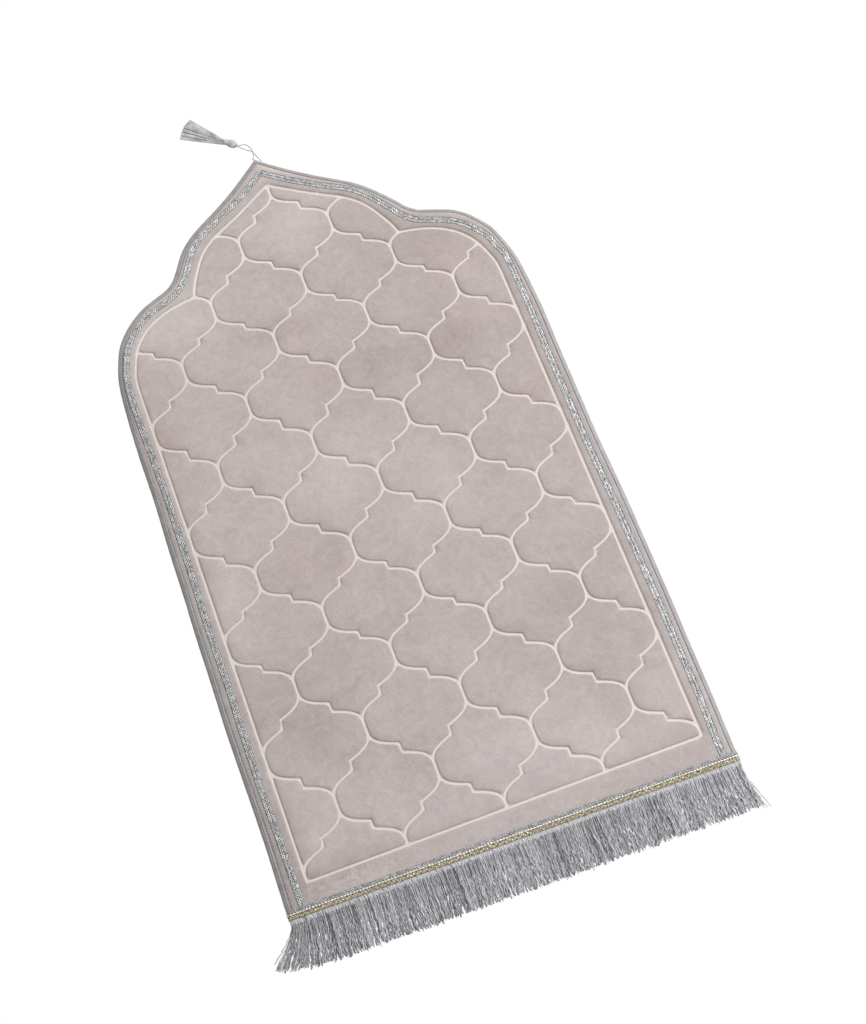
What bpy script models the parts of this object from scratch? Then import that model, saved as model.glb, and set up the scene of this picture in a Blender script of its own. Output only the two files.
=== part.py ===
"""Padded prayer rug: a velvet mat with a pointed arch and pressed trellis lines, a rolled edge binding,
metal-thread braids, a fringed foot, and a tassel on a loop of cord at the tip.

The mat lies on z = 0 with its arch towards +Y, and the origin is under the middle of mat and fringe.
Every length here is in millimetres, and each finished shape is scaled to metres.
"""

import math
import random

import bmesh
import bpy
from mathutils import Vector
from mathutils.geometry import delaunay_2d_cdt, interpolate_bezier

MM = 0.001
GAP = 0.3
WELD = 0.01
SHARP_ANGLE = 35.0
SEED = 11

# Outline of the bound edge, from the tip down to the foot. Heading is the slope of the edge in degrees
# below level, going outwards. The arch is cut a little narrower on the left than on the right.
TIP_X = -3.0
OUTLINE = (
    # name,         left x, right x,      y, heading
    ("tip",          TIP_X,   TIP_X,  600.5, 40.0),
    ("ogee",         -98.0,    96.0,  529.5, 31.0),
    ("hip",         -153.5,   150.7,  488.9, 47.0),
    ("waist",       -182.6,   187.0,  446.0, 54.0),
    ("neck",        -196.1,   202.5,  432.0, 34.0),
    ("foot",        -216.4,   227.7,  422.5, 21.0),
    ("shoulder",    -246.9,   260.8,  408.5, 33.0),
    ("bulge",       -287.7,   297.1,  370.0, 54.0),
    ("fall",        -305.3,   312.6,  330.0, 72.0),
    ("side top",    -316.0,   323.3,  240.0, 87.0),
    ("upper side",  -317.5,   323.2,  120.0, 90.0),
    ("middle side", -320.3,   322.6,    0.0, 90.0),
    ("lower side",  -322.9,   325.0, -140.0, 90.0),
    ("calf",        -324.6,   325.2, -250.0, 90.0),
    ("heel",        -323.6,   323.9, -400.0, 90.0),
    ("hem",         -325.5,   322.3, -524.5, 90.0),
)
PIECES = 3
HANDLE = 0.35
HEM_Y = -524.5
HEM_SKEW = 0.014

# The pressed frame line round the trellis, right half. The left half mirrors it.
FRAME_TOP = (
    # name,       x,     y, heading
    ("apex",    0.0, 547.0, 30.0),
    ("ogee",   72.0, 504.5, 28.0),
    ("hip",   123.5, 472.0, 45.0),
    ("waist", 151.0, 431.0, 62.0),
)
FRAME_SHOULDER = (
    ("shoulder", 224.7, 385.0, 25.0),
    ("bulge",    264.0, 353.0, 53.0),
    ("fall",     281.5, 314.0, 71.0),
    ("side",     286.0, 262.0, 90.0),
)
NECK_HEADING = (75.0, 6.0)

# Trellis: nodes are short upright lines, joined by ogee branches with a small step halfway.
HALF_CELL = 71.5
ROW_PITCH = 85.0
TOP_NODE_Y = 540.0
LAST_ROW = 12
LAST_COLUMN = 4
NODE_HALF = 13.0
BRANCH_ARC = ((0.0, -13.0), (4.0, -26.0), (20.0, -31.0), (35.75, -36.5))
ROW_DRIFT = (0.0, -0.5, -0.5, 2.0, 2.4, -1.0, -1.7, -2.0, -0.4, 1.7, 0.8, -0.4, 0.0)
ARC_STEPS = 3
NECK_STEP = 2
MERGE_WITHIN = 2.0

# Heights over the floor.
EDGE_Z = 8.5
MARGIN_Z = 11.0
CHANNEL_Z = 9.6
CUSHION_Z = 11.2
CROWN_Z = 12.6
CHANNEL_HALF = 2.2
EDGE_SLOPE = 3.2

BINDING_WIDTH = 7.5
BINDING_SECTION = (
    # inset from the edge, height
    (0.7, 0.0), (0.0, 2.4), (0.2, 5.6), (1.8, 8.4), (4.6, 9.7), (BINDING_WIDTH, 8.9), (BINDING_WIDTH, 0.0),
)

BRAID_SECTION = ((-5.2, 0.0), (-4.0, 1.5), (0.0, 1.0), (4.0, 1.5), (5.2, 0.0))
BRAID_INSET = (
    # y of the edge, inset of the braid's middle on the left, on the right
    (600.0, 22.5, 22.5),
    (560.0, 20.3, 20.3),
    (529.0, 16.4, 17.6),
    (505.0, 15.4, 14.6),
    (450.0, 17.9, 18.3),
    (424.0, 17.9, 21.4),
    (406.0, 15.8, 22.0),
    (345.0, 13.3, 17.0),
    (310.0, 13.6, 14.6),
    (270.0, 13.9, 17.2),
    (165.0, 18.3, 19.3),
    (20.0, 21.3, 19.2),
    (-80.0, 19.7, 19.9),
    (-210.0, 21.6, 19.9),
    (-340.0, 19.1, 18.9),
    (-420.0, 20.6, 18.3),
    (-500.0, 22.8, 21.0),
)

# Straight braids across the foot: distance up the mat from the hem's edge, and height.
HEM_SILVER_SECTION = ((6.6, 0.0), (7.6, 1.3), (11.0, 0.9), (14.2, 1.3), (15.4, 0.0))
HEM_GOLD_SECTION = ((0.2, 0.0), (1.0, 1.8), (3.3, 2.4), (5.6, 1.8), (6.3, 0.0))
HEM_END_DROP = (
    # inset from the bound edge, how far the braid has bent down there
    (0.4, 3.6), (2.4, 1.2), (6.5, 0.0),
)

FRINGE_INSET = 0.7
FRINGE_HEADER_DEPTH = 7.0
FRINGE_HEADER_BACK_Z = 8.4
TAPE_STEP = 43
STRANDS = 150
STRAND_LENGTH = 59.5
STRAND_RAGGED = 3.0
STRAND_STEPS = (
    # share of the length, width, height
    (0.5, 2.7, 2.4),
    (1.0, 1.3, 1.1),
)
STRAND_ROOT = (2.9, 3.2)
STRAND_SWAY = 1.1
SPLAY_LEFT = 38.0
SPLAY_RIGHT = 9.0
SPLAY_REACH = 26.0
SPLAY_POWER = 1.3

# Tassel: lies on the floor beyond the tip, its axis turned away from +X.
TASSEL_END = (-20.5, 634.5)
TASSEL_HEADING = 139.5
TASSEL_HEAD = (
    # along the axis, half width, half height, height of the middle
    (0.0, 2.4, 1.8, 4.0),
    (2.5, 4.6, 3.5, 4.2),
    (6.5, 6.5, 4.5, 4.7),
    (11.0, 6.5, 4.5, 4.7),
    (15.5, 4.9, 3.5, 3.9),
    (19.5, 3.9, 2.8, 3.2),
)
SKIRT_GRID = (12, 3)
ROOT_PARTING = 0.1
SKIRT_FROM = 21.0
SKIRT_ROOT_SIZE = (8.6, 4.8)
SKIRT_LENGTH = 70.0
SKIRT_SPREAD = 38.5
SKIRT_ROUNDING = 0.2
SKIRT_STEPS = (
    # share of the length, share of the spread, strand width, strand height
    (0.45, 0.58, 1.4, 1.15),
    (1.0, 1.0, 1.9, 1.15),
)

# Tassel cord: two legs of one loop. The right one passes over the left in a low hump.
CORD_RADIUS = 0.75
CORD_STEP = 4.0
LEFT_LEG = (
    (-3.9, 600.4, 5.2), (-5.0, 602.4, 4.4), (-3.4, 606.4, 2.2), (-1.4, 611.4, 0.9), (-0.8, 618.0, 0.9),
    (-1.9, 625.6, 0.9), (-5.4, 631.8, 1.0), (-10.8, 634.4, 1.8), (-15.6, 633.6, 3.2), (-18.2, 633.8, 3.9),
    (-19.6, 635.0, 4.0),
)
RIGHT_LEG = (
    (5.5, 594.2, 5.2), (6.4, 595.6, 4.8), (5.6, 598.8, 3.6), (3.2, 604.8, 2.4), (0.4, 612.2, 3.0),
    (-2.8, 618.4, 2.6), (-7.4, 622.6, 0.9), (-12.8, 627.3, 1.6), (-17.6, 630.8, 3.2), (-19.3, 632.1, 3.9),
    (-20.9, 633.5, 4.0),
)


def clear_scene():
    for item in list(bpy.data.objects):
        bpy.data.objects.remove(item, do_unlink=True)


def finish(name, colour, roughness, metallic=0.0):
    material = bpy.data.materials.new(name)
    material.use_nodes = True
    shader = material.node_tree.nodes["Principled BSDF"]
    shader.inputs["Base Color"].default_value = (*colour, 1.0)
    shader.inputs["Roughness"].default_value = roughness
    shader.inputs["Metallic"].default_value = metallic
    return material


def add_object(name, shape, material):
    """Links a bmesh in millimetres as an object in metres, shaded smooth but for its creases."""
    bmesh.ops.scale(shape, vec=(MM, MM, MM), verts=shape.verts)
    mesh = bpy.data.meshes.new(name)
    shape.to_mesh(mesh)
    shape.free()
    mesh.shade_smooth()
    mesh.set_sharp_from_angle(angle=math.radians(SHARP_ANGLE))
    mesh.materials.append(material)
    item = bpy.data.objects.new(name, mesh)
    bpy.context.scene.collection.objects.link(item)
    return item


# ---- Lines in plan ----


def smooth_line(keys):
    """Points of the curve through (x, y, heading) keys, with three pieces between each pair."""
    points = [Vector(keys[0][:2])]
    for (x0, y0, turn0), (x1, y1, turn1) in zip(keys, keys[1:]):
        start, end = Vector((x0, y0)), Vector((x1, y1))
        reach = HANDLE * (end - start).length
        leave = Vector((math.cos(math.radians(turn0)), -math.sin(math.radians(turn0))))
        arrive = Vector((math.cos(math.radians(turn1)), -math.sin(math.radians(turn1))))
        curve = interpolate_bezier(start, start + reach * leave, end - reach * arrive, end, PIECES + 1)
        points += [point.to_2d() for point in curve[1:]]
    return points


def hem_y(x):
    return HEM_Y - HEM_SKEW * x


def flipped(points):
    return [Vector((-point.x, point.y)) for point in reversed(points)]


def edge_line():
    """The bound edge from the left end of the hem, over the tip, to the right end of the hem."""
    right = smooth_line([(right_x, y, turn) for _, _, right_x, y, turn in OUTLINE])
    left = smooth_line([(-left_x, y, turn) for _, left_x, _, y, turn in OUTLINE])
    line = flipped(left)[:-1] + right
    line[0].y, line[-1].y = hem_y(line[0].x), hem_y(line[-1].x)
    return line


def inset(line, distance):
    """The line moved to its right-hand side; distance is a number, or a function of the point."""
    moved = []
    for index, point in enumerate(line):
        before = line[max(index - 1, 0)]
        after = line[min(index + 1, len(line) - 1)]
        sides = [side.normalized() for side in (point - before, after - point) if side.length > 0]
        normals = [Vector((side.y, -side.x)) for side in sides]
        middle = sum(normals, Vector((0, 0))).normalized()
        amount = distance(point) if callable(distance) else distance
        moved.append(point + middle * amount / middle.dot(normals[0]))
    return moved


def closed_inset(loop, distance):
    """As inset, for a closed loop."""
    return inset([loop[-1], *loop, loop[0]], distance)[1:-1]


# ---- Trellis ----


def node_at(column, row):
    return Vector((column * HALF_CELL, TOP_NODE_Y - row * ROW_PITCH + ROW_DRIFT[row]))


def branch(column, row, side):
    """The line from a node's lower end to the upper end of the next node down, to the left or right."""
    curve = interpolate_bezier(*[Vector(point) for point in BRANCH_ARC], ARC_STEPS + 1)
    upper = [Vector((side * point.x, point.y)) for point in curve]
    start, end = node_at(column, row), node_at(column + side, row + 1)
    return [start + point for point in upper] + [end - point for point in reversed(upper)]


def frame_line():
    """Closed loop of the frame. Its necks are a point of the branches that run into them."""
    neck = branch(3, 1, -1)[-1 - NECK_STEP]
    top = [key[1:] for key in FRAME_TOP] + [(neck.x, neck.y, NECK_HEADING[0])]
    shoulder = [(neck.x, neck.y, NECK_HEADING[1])] + [key[1:] for key in FRAME_SHOULDER]
    foot = node_at(LAST_COLUMN, LAST_ROW)
    right = smooth_line(top) + smooth_line(shoulder)[1:] + [foot]
    return flipped(right)[:-1] + right


def trellis_lines():
    """Branches and upright nodes. Nodes on the frame's sides need no upright of their own."""
    lines = []
    for row in range(LAST_ROW + 1):
        for column in range(-LAST_COLUMN, LAST_COLUMN + 1):
            if (row + column) % 2:
                continue
            if abs(column) < LAST_COLUMN:
                node, half = node_at(column, row), Vector((0, NODE_HALF))
                lines.append([node + half, node, node - half])
            for side in (-1, 1):
                if row < LAST_ROW and abs(column + side) <= LAST_COLUMN:
                    lines.append(branch(column, row, side))
    return lines


def numbered(lines):
    """All points of the lines in one list, and for each line the list of its points' numbers."""
    points, numbers = [], []
    for line in lines:
        numbers.append(list(range(len(points), len(points) + len(line))))
        points += line
    return points, numbers


# ---- Mat ----


def flat_cells():
    """The frame's face, cut into trellis cells: a flat bmesh of many-sided faces."""
    points, (outline, *lines) = numbered([frame_line(), *trellis_lines()])
    edges = [pair for line in lines for pair in zip(line, line[1:])]
    cut = delaunay_2d_cdt(points, edges, [outline[::-1]], 3, 1e-3)
    shape = bmesh.new()
    verts = [shape.verts.new((point.x, point.y, 0)) for point in cut[0]]
    for corners, made_from in zip(cut[2], cut[5]):
        if made_from:
            shape.faces.new([verts[corner] for corner in corners])
    bmesh.ops.delete(shape, geom=[vert for vert in verts if not vert.link_faces], context="VERTS")
    bmesh.ops.remove_doubles(shape, verts=shape.verts, dist=MERGE_WITHIN)
    bmesh.ops.recalc_face_normals(shape, faces=shape.faces)
    if shape.faces[:][0].normal.z < 0:
        bmesh.ops.reverse_faces(shape, faces=shape.faces)
    return shape


def rim(shape):
    """The points of a flat sheet's outer edge, in order."""
    first = next(vert for vert in shape.verts if vert.is_boundary)
    loop, edge = [first], None
    while True:
        edge = next(e for e in loop[-1].link_edges if e.is_boundary and e is not edge)
        vert = edge.other_vert(loop[-1])
        if vert is first:
            return loop
        loop.append(vert)


def sees_all(face, middle):
    """True if straight lines from the middle reach every corner of a flat face without leaving it."""
    return all(
        (loop.link_loop_next.vert.co - loop.vert.co).cross(middle - loop.vert.co).z > 0 for loop in face.loops
    )


def press_cells(shape):
    """Lowers the lines between the cells and puffs each cell up to its crown."""
    for vert in shape.verts:
        vert.co.z = CHANNEL_Z
    cells = shape.faces[:]
    bmesh.ops.inset_individual(shape, faces=cells, thickness=CHANNEL_HALF, depth=0, use_even_offset=True)
    full_area = 2 * HALF_CELL * ROW_PITCH
    for cell in cells:
        middle = cell.calc_center_median_weighted()
        share = min(cell.calc_area() / full_area, 1.0)
        open_cell = sees_all(cell, middle)
        for vert in cell.verts:
            vert.co.z = CUSHION_Z
        if open_cell:
            crown = bmesh.ops.poke(shape, faces=[cell], center_mode="MEAN_WEIGHTED")["verts"]
            crown[0].co.z = CUSHION_Z + (CROWN_Z - CUSHION_Z) * math.sqrt(share)


def mat_edge():
    """Closed loops of the mat's edge and of the foot of its rounded slope."""
    line = edge_line()
    loops = []
    for extra in (0.0, EDGE_SLOPE):
        side = inset(line, BINDING_WIDTH + GAP + extra)
        for end in (side[0], side[-1]):
            end.y = hem_y(end.x) + extra
        loops.append(side)
    return loops


def add_border(shape):
    """The flat border from the frame line out to the mat's edge, as triangles joined to the cells."""
    inner = rim(shape)
    plan = [vert.co.to_2d() for vert in inner]
    if sum(a.x * b.y - b.x * a.y for a, b in zip(plan, plan[1:] + plan[:1])) < 0:
        plan.reverse()
    plan.reverse()
    edge, slope_foot = mat_edge()
    loops = [
        (plan, CHANNEL_Z),
        (closed_inset(plan, -CHANNEL_HALF), MARGIN_Z),
        (slope_foot, MARGIN_Z),
        (edge, EDGE_Z),
    ]
    points, rings = numbered([loop for loop, _ in loops])
    cut = delaunay_2d_cdt(points, [], [ring[::-1] for ring in rings], 1, 1e-4)
    heights = [height for loop, height in loops for _ in loop]
    verts = [shape.verts.new((point.x, point.y, heights[made[0]])) for point, made in zip(cut[0], cut[3])]
    for corners, made_from in zip(cut[2], cut[5]):
        if 0 not in made_from:
            shape.faces.new([verts[corner] for corner in corners])
    bmesh.ops.delete(shape, geom=[vert for vert in verts if not vert.link_faces], context="VERTS")
    bmesh.ops.remove_doubles(shape, verts=shape.verts, dist=WELD)


def build_mat():
    shape = flat_cells()
    press_cells(shape)
    add_border(shape)
    open_edges = [edge for edge in shape.edges if edge.is_boundary]
    wall = bmesh.ops.extrude_edge_only(shape, edges=open_edges)["geom"]
    for vert in (item for item in wall if isinstance(item, bmesh.types.BMVert)):
        vert.co.z = 0
    base = bmesh.ops.holes_fill(shape, edges=[edge for edge in shape.edges if edge.is_boundary])["faces"]
    bmesh.ops.triangulate(shape, faces=base, ngon_method="BEAUTY")
    bmesh.ops.recalc_face_normals(shape, faces=shape.faces)
    add_object("mat", shape, finish("dusty_velvet", (0.50, 0.43, 0.41), 0.85))


# ---- Binding and braids ----


def swept(lines):
    """A closed solid from long lines, one for each corner of its section, taken round the section."""
    shape = bmesh.new()
    rows = [[shape.verts.new(point) for point in line] for line in lines]
    for row, other in zip(rows, rows[1:] + rows[:1]):
        for corners in zip(row, row[1:], other[1:], other):
            shape.faces.new(corners)
    for end in (0, -1):
        shape.faces.new([row[end] for row in rows])
    bmesh.ops.recalc_face_normals(shape, faces=shape.faces)
    return shape


def build_binding():
    line = edge_line()
    lines = []
    for distance, height in BINDING_SECTION:
        side = inset(line, distance)
        side[0].y, side[-1].y = hem_y(side[0].x), hem_y(side[-1].x)
        lines.append([(point.x, point.y, height) for point in side])
    add_object("edge_binding", swept(lines), finish("grey_twill", (0.38, 0.37, 0.35), 0.7))


def braid_inset(point):
    """Distance from a point of the edge to the middle of the braid, which wanders a little."""
    column = 1 if point.x < TIP_X else 2
    for upper, lower in zip(BRAID_INSET, BRAID_INSET[1:]):
        if point.y >= lower[0]:
            break
    share = min(max((upper[0] - point.y) / (upper[0] - lower[0]), 0.0), 1.0)
    return upper[column] + share * (lower[column] - upper[column])


def build_silver_braid():
    line = edge_line()
    lines = []
    for across, height in BRAID_SECTION:
        side = inset(line, lambda point: braid_inset(point) + across)
        for end in (side[0], side[-1]):
            end.y = hem_y(end.x) + HEM_SILVER_SECTION[-1][0] + GAP
        lines.append([(point.x, point.y, MARGIN_Z + GAP + height) for point in side])
    add_object("silver_braid", swept(lines), finish("silver_thread", (0.62, 0.64, 0.64), 0.35, 0.8))


def build_hem_braid(name, section, material):
    """A straight braid along the hem, from edge to edge, bent down over the binding at both ends."""
    line = edge_line()
    places = [(line[0].x + inset_by, drop) for inset_by, drop in HEM_END_DROP]
    places += [(line[-1].x - inset_by, drop) for inset_by, drop in reversed(HEM_END_DROP)]
    lines = []
    for up, height in section:
        lines.append([(x, hem_y(x) + up, MARGIN_Z + GAP + height - drop) for x, drop in places])
    add_object(name, swept(lines), material)


# ---- Fringe ----


def fringe_tape(stations):
    """The header tape as a flat wedge, and the faces of its front, one between each pair of stations."""
    shape = bmesh.new()
    front = [
        [shape.verts.new((x, hem_y(x) - FRINGE_HEADER_DEPTH, z)) for x in stations]
        for z in (0, STRAND_ROOT[1])
    ]
    joints = [*range(0, len(stations) - 1, TAPE_STEP), len(stations) - 1]
    back = [
        [shape.verts.new((stations[joint], hem_y(stations[joint]) - GAP, z)) for joint in joints]
        for z in (0, FRINGE_HEADER_BACK_Z)
    ]
    patches = []
    for low, high in zip(front, back):
        for (start, end), (first, last) in zip(zip(joints, joints[1:]), zip(high, high[1:])):
            patches.append(shape.faces.new([*low[start : end + 1], last, first]))
    for corners in zip(back[0], back[0][1:], back[1][1:], back[1]):
        shape.faces.new(corners)
    for end in (0, -1):
        shape.faces.new([front[0][end], front[1][end], back[1][end], back[0][end]])
    bmesh.ops.triangulate(shape, faces=patches, ngon_method="BEAUTY")
    squares = zip(front[0], front[0][1:], front[1][1:], front[1])
    return shape, [shape.faces.new(corners) for corners in squares]


def splay(x, left, right):
    """How far a strand that starts at x leans outwards at its tip, most at the two ends of the hem."""
    return SPLAY_RIGHT * math.exp((x - right) / SPLAY_REACH) - SPLAY_LEFT * math.exp((left - x) / SPLAY_REACH)


def build_fringe():
    """Header tape outside the hem's front wall, with its strands drawn out of the tape's front faces."""
    draw = random.Random(SEED)
    line = edge_line()
    left, right = line[0].x + FRINGE_INSET, line[-1].x - FRINGE_INSET
    pitch = (right - left) / STRANDS
    centres = [left + pitch * (index + 0.5) for index in range(STRANDS)]
    half_root = STRAND_ROOT[0] / 2
    roots = [x for centre in centres for x in (centre - half_root, centre + half_root)]
    shape, faces = fringe_tape([left, *roots, right])
    for centre, face in zip(centres, faces[1::2]):
        length = STRAND_LENGTH + draw.uniform(-STRAND_RAGGED, STRAND_RAGGED)
        sway = draw.uniform(-STRAND_SWAY, STRAND_SWAY)
        lean = splay(centre, left, right)
        reach = math.sqrt(length**2 - lean**2)
        for share, width, height in STRAND_STEPS:
            face = bmesh.ops.extrude_discrete_faces(shape, faces=[face])["faces"][0]
            middle = centre + lean * share**SPLAY_POWER + sway * share
            start = face.calc_center_median()
            for vert in face.verts:
                vert.co.x = middle + math.copysign(width / 2, vert.co.x - start.x)
                vert.co.y = hem_y(centre) - FRINGE_HEADER_DEPTH - reach * share
                vert.co.z = height if vert.co.z > start.z else 0
    bmesh.ops.recalc_face_normals(shape, faces=shape.faces)
    add_object("fringe", shape, finish("silver_fringe", (0.33, 0.33, 0.34), 0.5, 0.3))


# ---- Tassel and its cord ----


def tassel_point(along, across, z):
    """A place on the tassel: along its axis from the cord's end, and across to the right of it."""
    turn = math.radians(TASSEL_HEADING)
    axis = Vector((math.cos(turn), math.sin(turn)))
    side = Vector((axis.y, -axis.x))
    plan = Vector(TASSEL_END) + along * axis + across * side
    return (plan.x, plan.y, z)


def draw_head(shape):
    """Draws the rim of the skirt's grid of roots back over the rings of the head, and closes the last one."""
    rim_edges = [edge for edge in shape.edges if edge.is_boundary]
    width, height = SKIRT_ROOT_SIZE
    places = {}
    for vert in shape.verts:
        places[vert] = Vector((SKIRT_FROM, vert.co.x * width, (vert.co.y + 0.5) * height))
    for along, half_width, half_height, middle in reversed(TASSEL_HEAD):
        ring = bmesh.ops.extrude_edge_only(shape, edges=rim_edges)["geom"]
        rim_edges = [item for item in ring if isinstance(item, bmesh.types.BMEdge) and item.is_boundary]
        for vert in (item for item in ring if isinstance(item, bmesh.types.BMVert)):
            turn = math.atan2(vert.co.y, vert.co.x)
            places[vert] = Vector((along, half_width * math.cos(turn), middle + half_height * math.sin(turn)))
    bmesh.ops.holes_fill(shape, edges=rim_edges)
    for vert, place in places.items():
        vert.co = place
    shape.normal_update()


def build_tassel():
    """A bound head, drawn back from a grid of squares whose every square is the root of one strand."""
    columns, layers = SKIRT_GRID
    width, height = SKIRT_ROOT_SIZE
    shape = bmesh.new()
    bmesh.ops.create_grid(shape, x_segments=columns, y_segments=layers, size=0.5)
    roots = shape.faces[:]
    draw_head(shape)
    bmesh.ops.inset_individual(shape, faces=roots, thickness=ROOT_PARTING, depth=0, use_even_offset=True)
    for face in roots:
        start = face.calc_center_median()
        floor = int(start.z / height * layers) * height / layers
        across = start.y / width
        for along, spread, strand_width, strand_height in SKIRT_STEPS:
            face = bmesh.ops.extrude_discrete_faces(shape, faces=[face])["faces"][0]
            middle = face.calc_center_median()
            fan = across * (width + (SKIRT_SPREAD - width) * spread)
            for vert in face.verts:
                vert.co.x = SKIRT_FROM + SKIRT_LENGTH * along * (1.0 - SKIRT_ROUNDING * across**2)
                vert.co.y = fan + math.copysign(strand_width / 2, vert.co.y - middle.y)
                vert.co.z = floor + (strand_height if vert.co.z > middle.z else 0)
    for vert in shape.verts:
        vert.co = tassel_point(*vert.co)
    bmesh.ops.recalc_face_normals(shape, faces=shape.faces)
    add_object("tassel", shape, finish("tassel_thread", (0.40, 0.40, 0.41), 0.5, 0.2))


def smoothed(route):
    """Points about a step apart on the smooth curve through the route's points."""
    knots = [Vector(point) for point in route]
    knots = [2 * knots[0] - knots[1], *knots, 2 * knots[-1] - knots[-2]]
    points = [knots[1]]
    for before, start, end, after in zip(knots, knots[1:], knots[2:], knots[3:]):
        pieces = max(1, round((end - start).length / CORD_STEP))
        leave, arrive = start + (end - before) / 6, end - (after - start) / 6
        points += interpolate_bezier(start, leave, arrive, end, pieces + 1)[1:]
    return points


def build_cord_leg(name, route, material):
    points = smoothed(route)
    curve = bpy.data.curves.new(name, "CURVE")
    curve.dimensions = "3D"
    curve.bevel_depth = CORD_RADIUS * MM
    curve.bevel_resolution = 2
    curve.use_fill_caps = True
    spline = curve.splines.new("POLY")
    spline.points.add(len(points) - 1)
    for place, point in zip(spline.points, points):
        place.co = (*(point * MM), 1.0)
    curve.materials.append(material)
    bpy.context.scene.collection.objects.link(bpy.data.objects.new(name, curve))


def main():
    clear_scene()
    build_mat()
    build_binding()
    build_silver_braid()
    silver = finish("silver_hem_thread", (0.60, 0.61, 0.62), 0.35, 0.8)
    gold = finish("gold_thread", (0.52, 0.38, 0.15), 0.35, 0.8)
    build_hem_braid("hem_silver_braid", HEM_SILVER_SECTION, silver)
    build_hem_braid("hem_gold_braid", HEM_GOLD_SECTION, gold)
    build_fringe()
    build_tassel()
    cord = finish("silver_cord", (0.45, 0.45, 0.46), 0.4, 0.4)
    build_cord_leg("tassel_cord_left", LEFT_LEG, cord)
    build_cord_leg("tassel_cord_right", RIGHT_LEG, cord)


main()
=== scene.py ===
"""Looks of a padded velvet prayer rug that lies flat: a panel with pressed trellis lines, a folded edge
binding, braids of metal thread, a fringe of loose threads, and a tassel on a loop of cord at the tip.

Lengths are in millimetres, and each finished shape is scaled to metres. The foot of the rug is towards -Y.
"""

import math
import random

import bmesh
import bpy
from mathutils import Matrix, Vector, kdtree, noise
from mathutils.geometry import delaunay_2d_cdt, interpolate_bezier


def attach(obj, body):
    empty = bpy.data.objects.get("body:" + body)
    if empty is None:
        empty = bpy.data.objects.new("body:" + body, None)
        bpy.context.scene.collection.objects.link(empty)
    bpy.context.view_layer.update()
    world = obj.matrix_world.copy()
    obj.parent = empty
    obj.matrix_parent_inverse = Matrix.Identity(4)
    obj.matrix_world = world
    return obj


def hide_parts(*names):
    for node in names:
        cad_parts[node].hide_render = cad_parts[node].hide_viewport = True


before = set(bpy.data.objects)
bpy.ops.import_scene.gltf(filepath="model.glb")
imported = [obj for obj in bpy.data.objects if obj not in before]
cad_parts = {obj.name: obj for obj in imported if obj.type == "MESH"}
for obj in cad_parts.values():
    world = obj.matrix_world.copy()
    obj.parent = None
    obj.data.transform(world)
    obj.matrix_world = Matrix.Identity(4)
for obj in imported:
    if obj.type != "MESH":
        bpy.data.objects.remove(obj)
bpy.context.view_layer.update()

MM = 0.001
SEED = 5

# ---- Sizes of the cut, as in the frame ----

TIP_X = -3.0
OUTLINE = (
    # name,         left x, right x,      y, heading in degrees below level
    ("tip",          TIP_X,   TIP_X,  600.5, 40.0),
    ("ogee",         -98.0,    96.0,  529.5, 31.0),
    ("hip",         -153.5,   150.7,  488.9, 47.0),
    ("waist",       -182.6,   187.0,  446.0, 54.0),
    ("neck",        -196.1,   202.5,  432.0, 34.0),
    ("foot",        -216.4,   227.7,  422.5, 21.0),
    ("shoulder",    -246.9,   260.8,  408.5, 33.0),
    ("bulge",       -287.7,   297.1,  370.0, 54.0),
    ("fall",        -305.3,   312.6,  330.0, 72.0),
    ("side top",    -316.0,   323.3,  240.0, 87.0),
    ("upper side",  -317.5,   323.2,  120.0, 90.0),
    ("middle side", -320.3,   322.6,    0.0, 90.0),
    ("lower side",  -322.9,   325.0, -140.0, 90.0),
    ("calf",        -324.6,   325.2, -250.0, 90.0),
    ("heel",        -323.6,   323.9, -400.0, 90.0),
    ("hem",         -325.5,   322.3, -524.5, 90.0),
)
HEM_Y = -524.5
HEM_SKEW = 0.014

# The frame line round the trellis, right half. The left half mirrors it.
FRAME_TOP = (
    # name,       x,     y, heading
    ("apex",    0.0, 547.0, 30.0),
    ("ogee",   72.0, 504.5, 28.0),
    ("hip",   123.5, 472.0, 45.0),
    ("waist", 151.0, 431.0, 62.0),
)
FRAME_SHOULDER = (
    ("shoulder", 224.7, 385.0, 25.0),
    ("bulge",    264.0, 353.0, 53.0),
    ("fall",     281.5, 314.0, 71.0),
    ("side",     286.0, 262.0, 90.0),
)
NECK_HEADING = (75.0, 6.0)

HALF_CELL = 71.5
ROW_PITCH = 85.0
TOP_NODE_Y = 540.0
LAST_ROW = 12
LAST_COLUMN = 4
NODE_HALF = 13.0
BRANCH_ARC = ((0.0, -13.0), (4.0, -26.0), (20.0, -31.0), (35.75, -36.5))
ROW_DRIFT = (0.0, -0.5, -0.5, 2.0, 2.4, -1.0, -1.7, -2.0, -0.4, 1.7, 0.8, -0.4, 0.0)
ARC_STEPS = 9
NECK_STEP = 6
KEY_STEPS = 9
HANDLE = 0.35
CUT_WITHIN = 0.1
FRAME_STEP = 6.0
NODE_STEP = 4.5
MERGE_WITHIN = 1.0
SHARP_ANGLE = 50

# ---- Velvet panel ----

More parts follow.
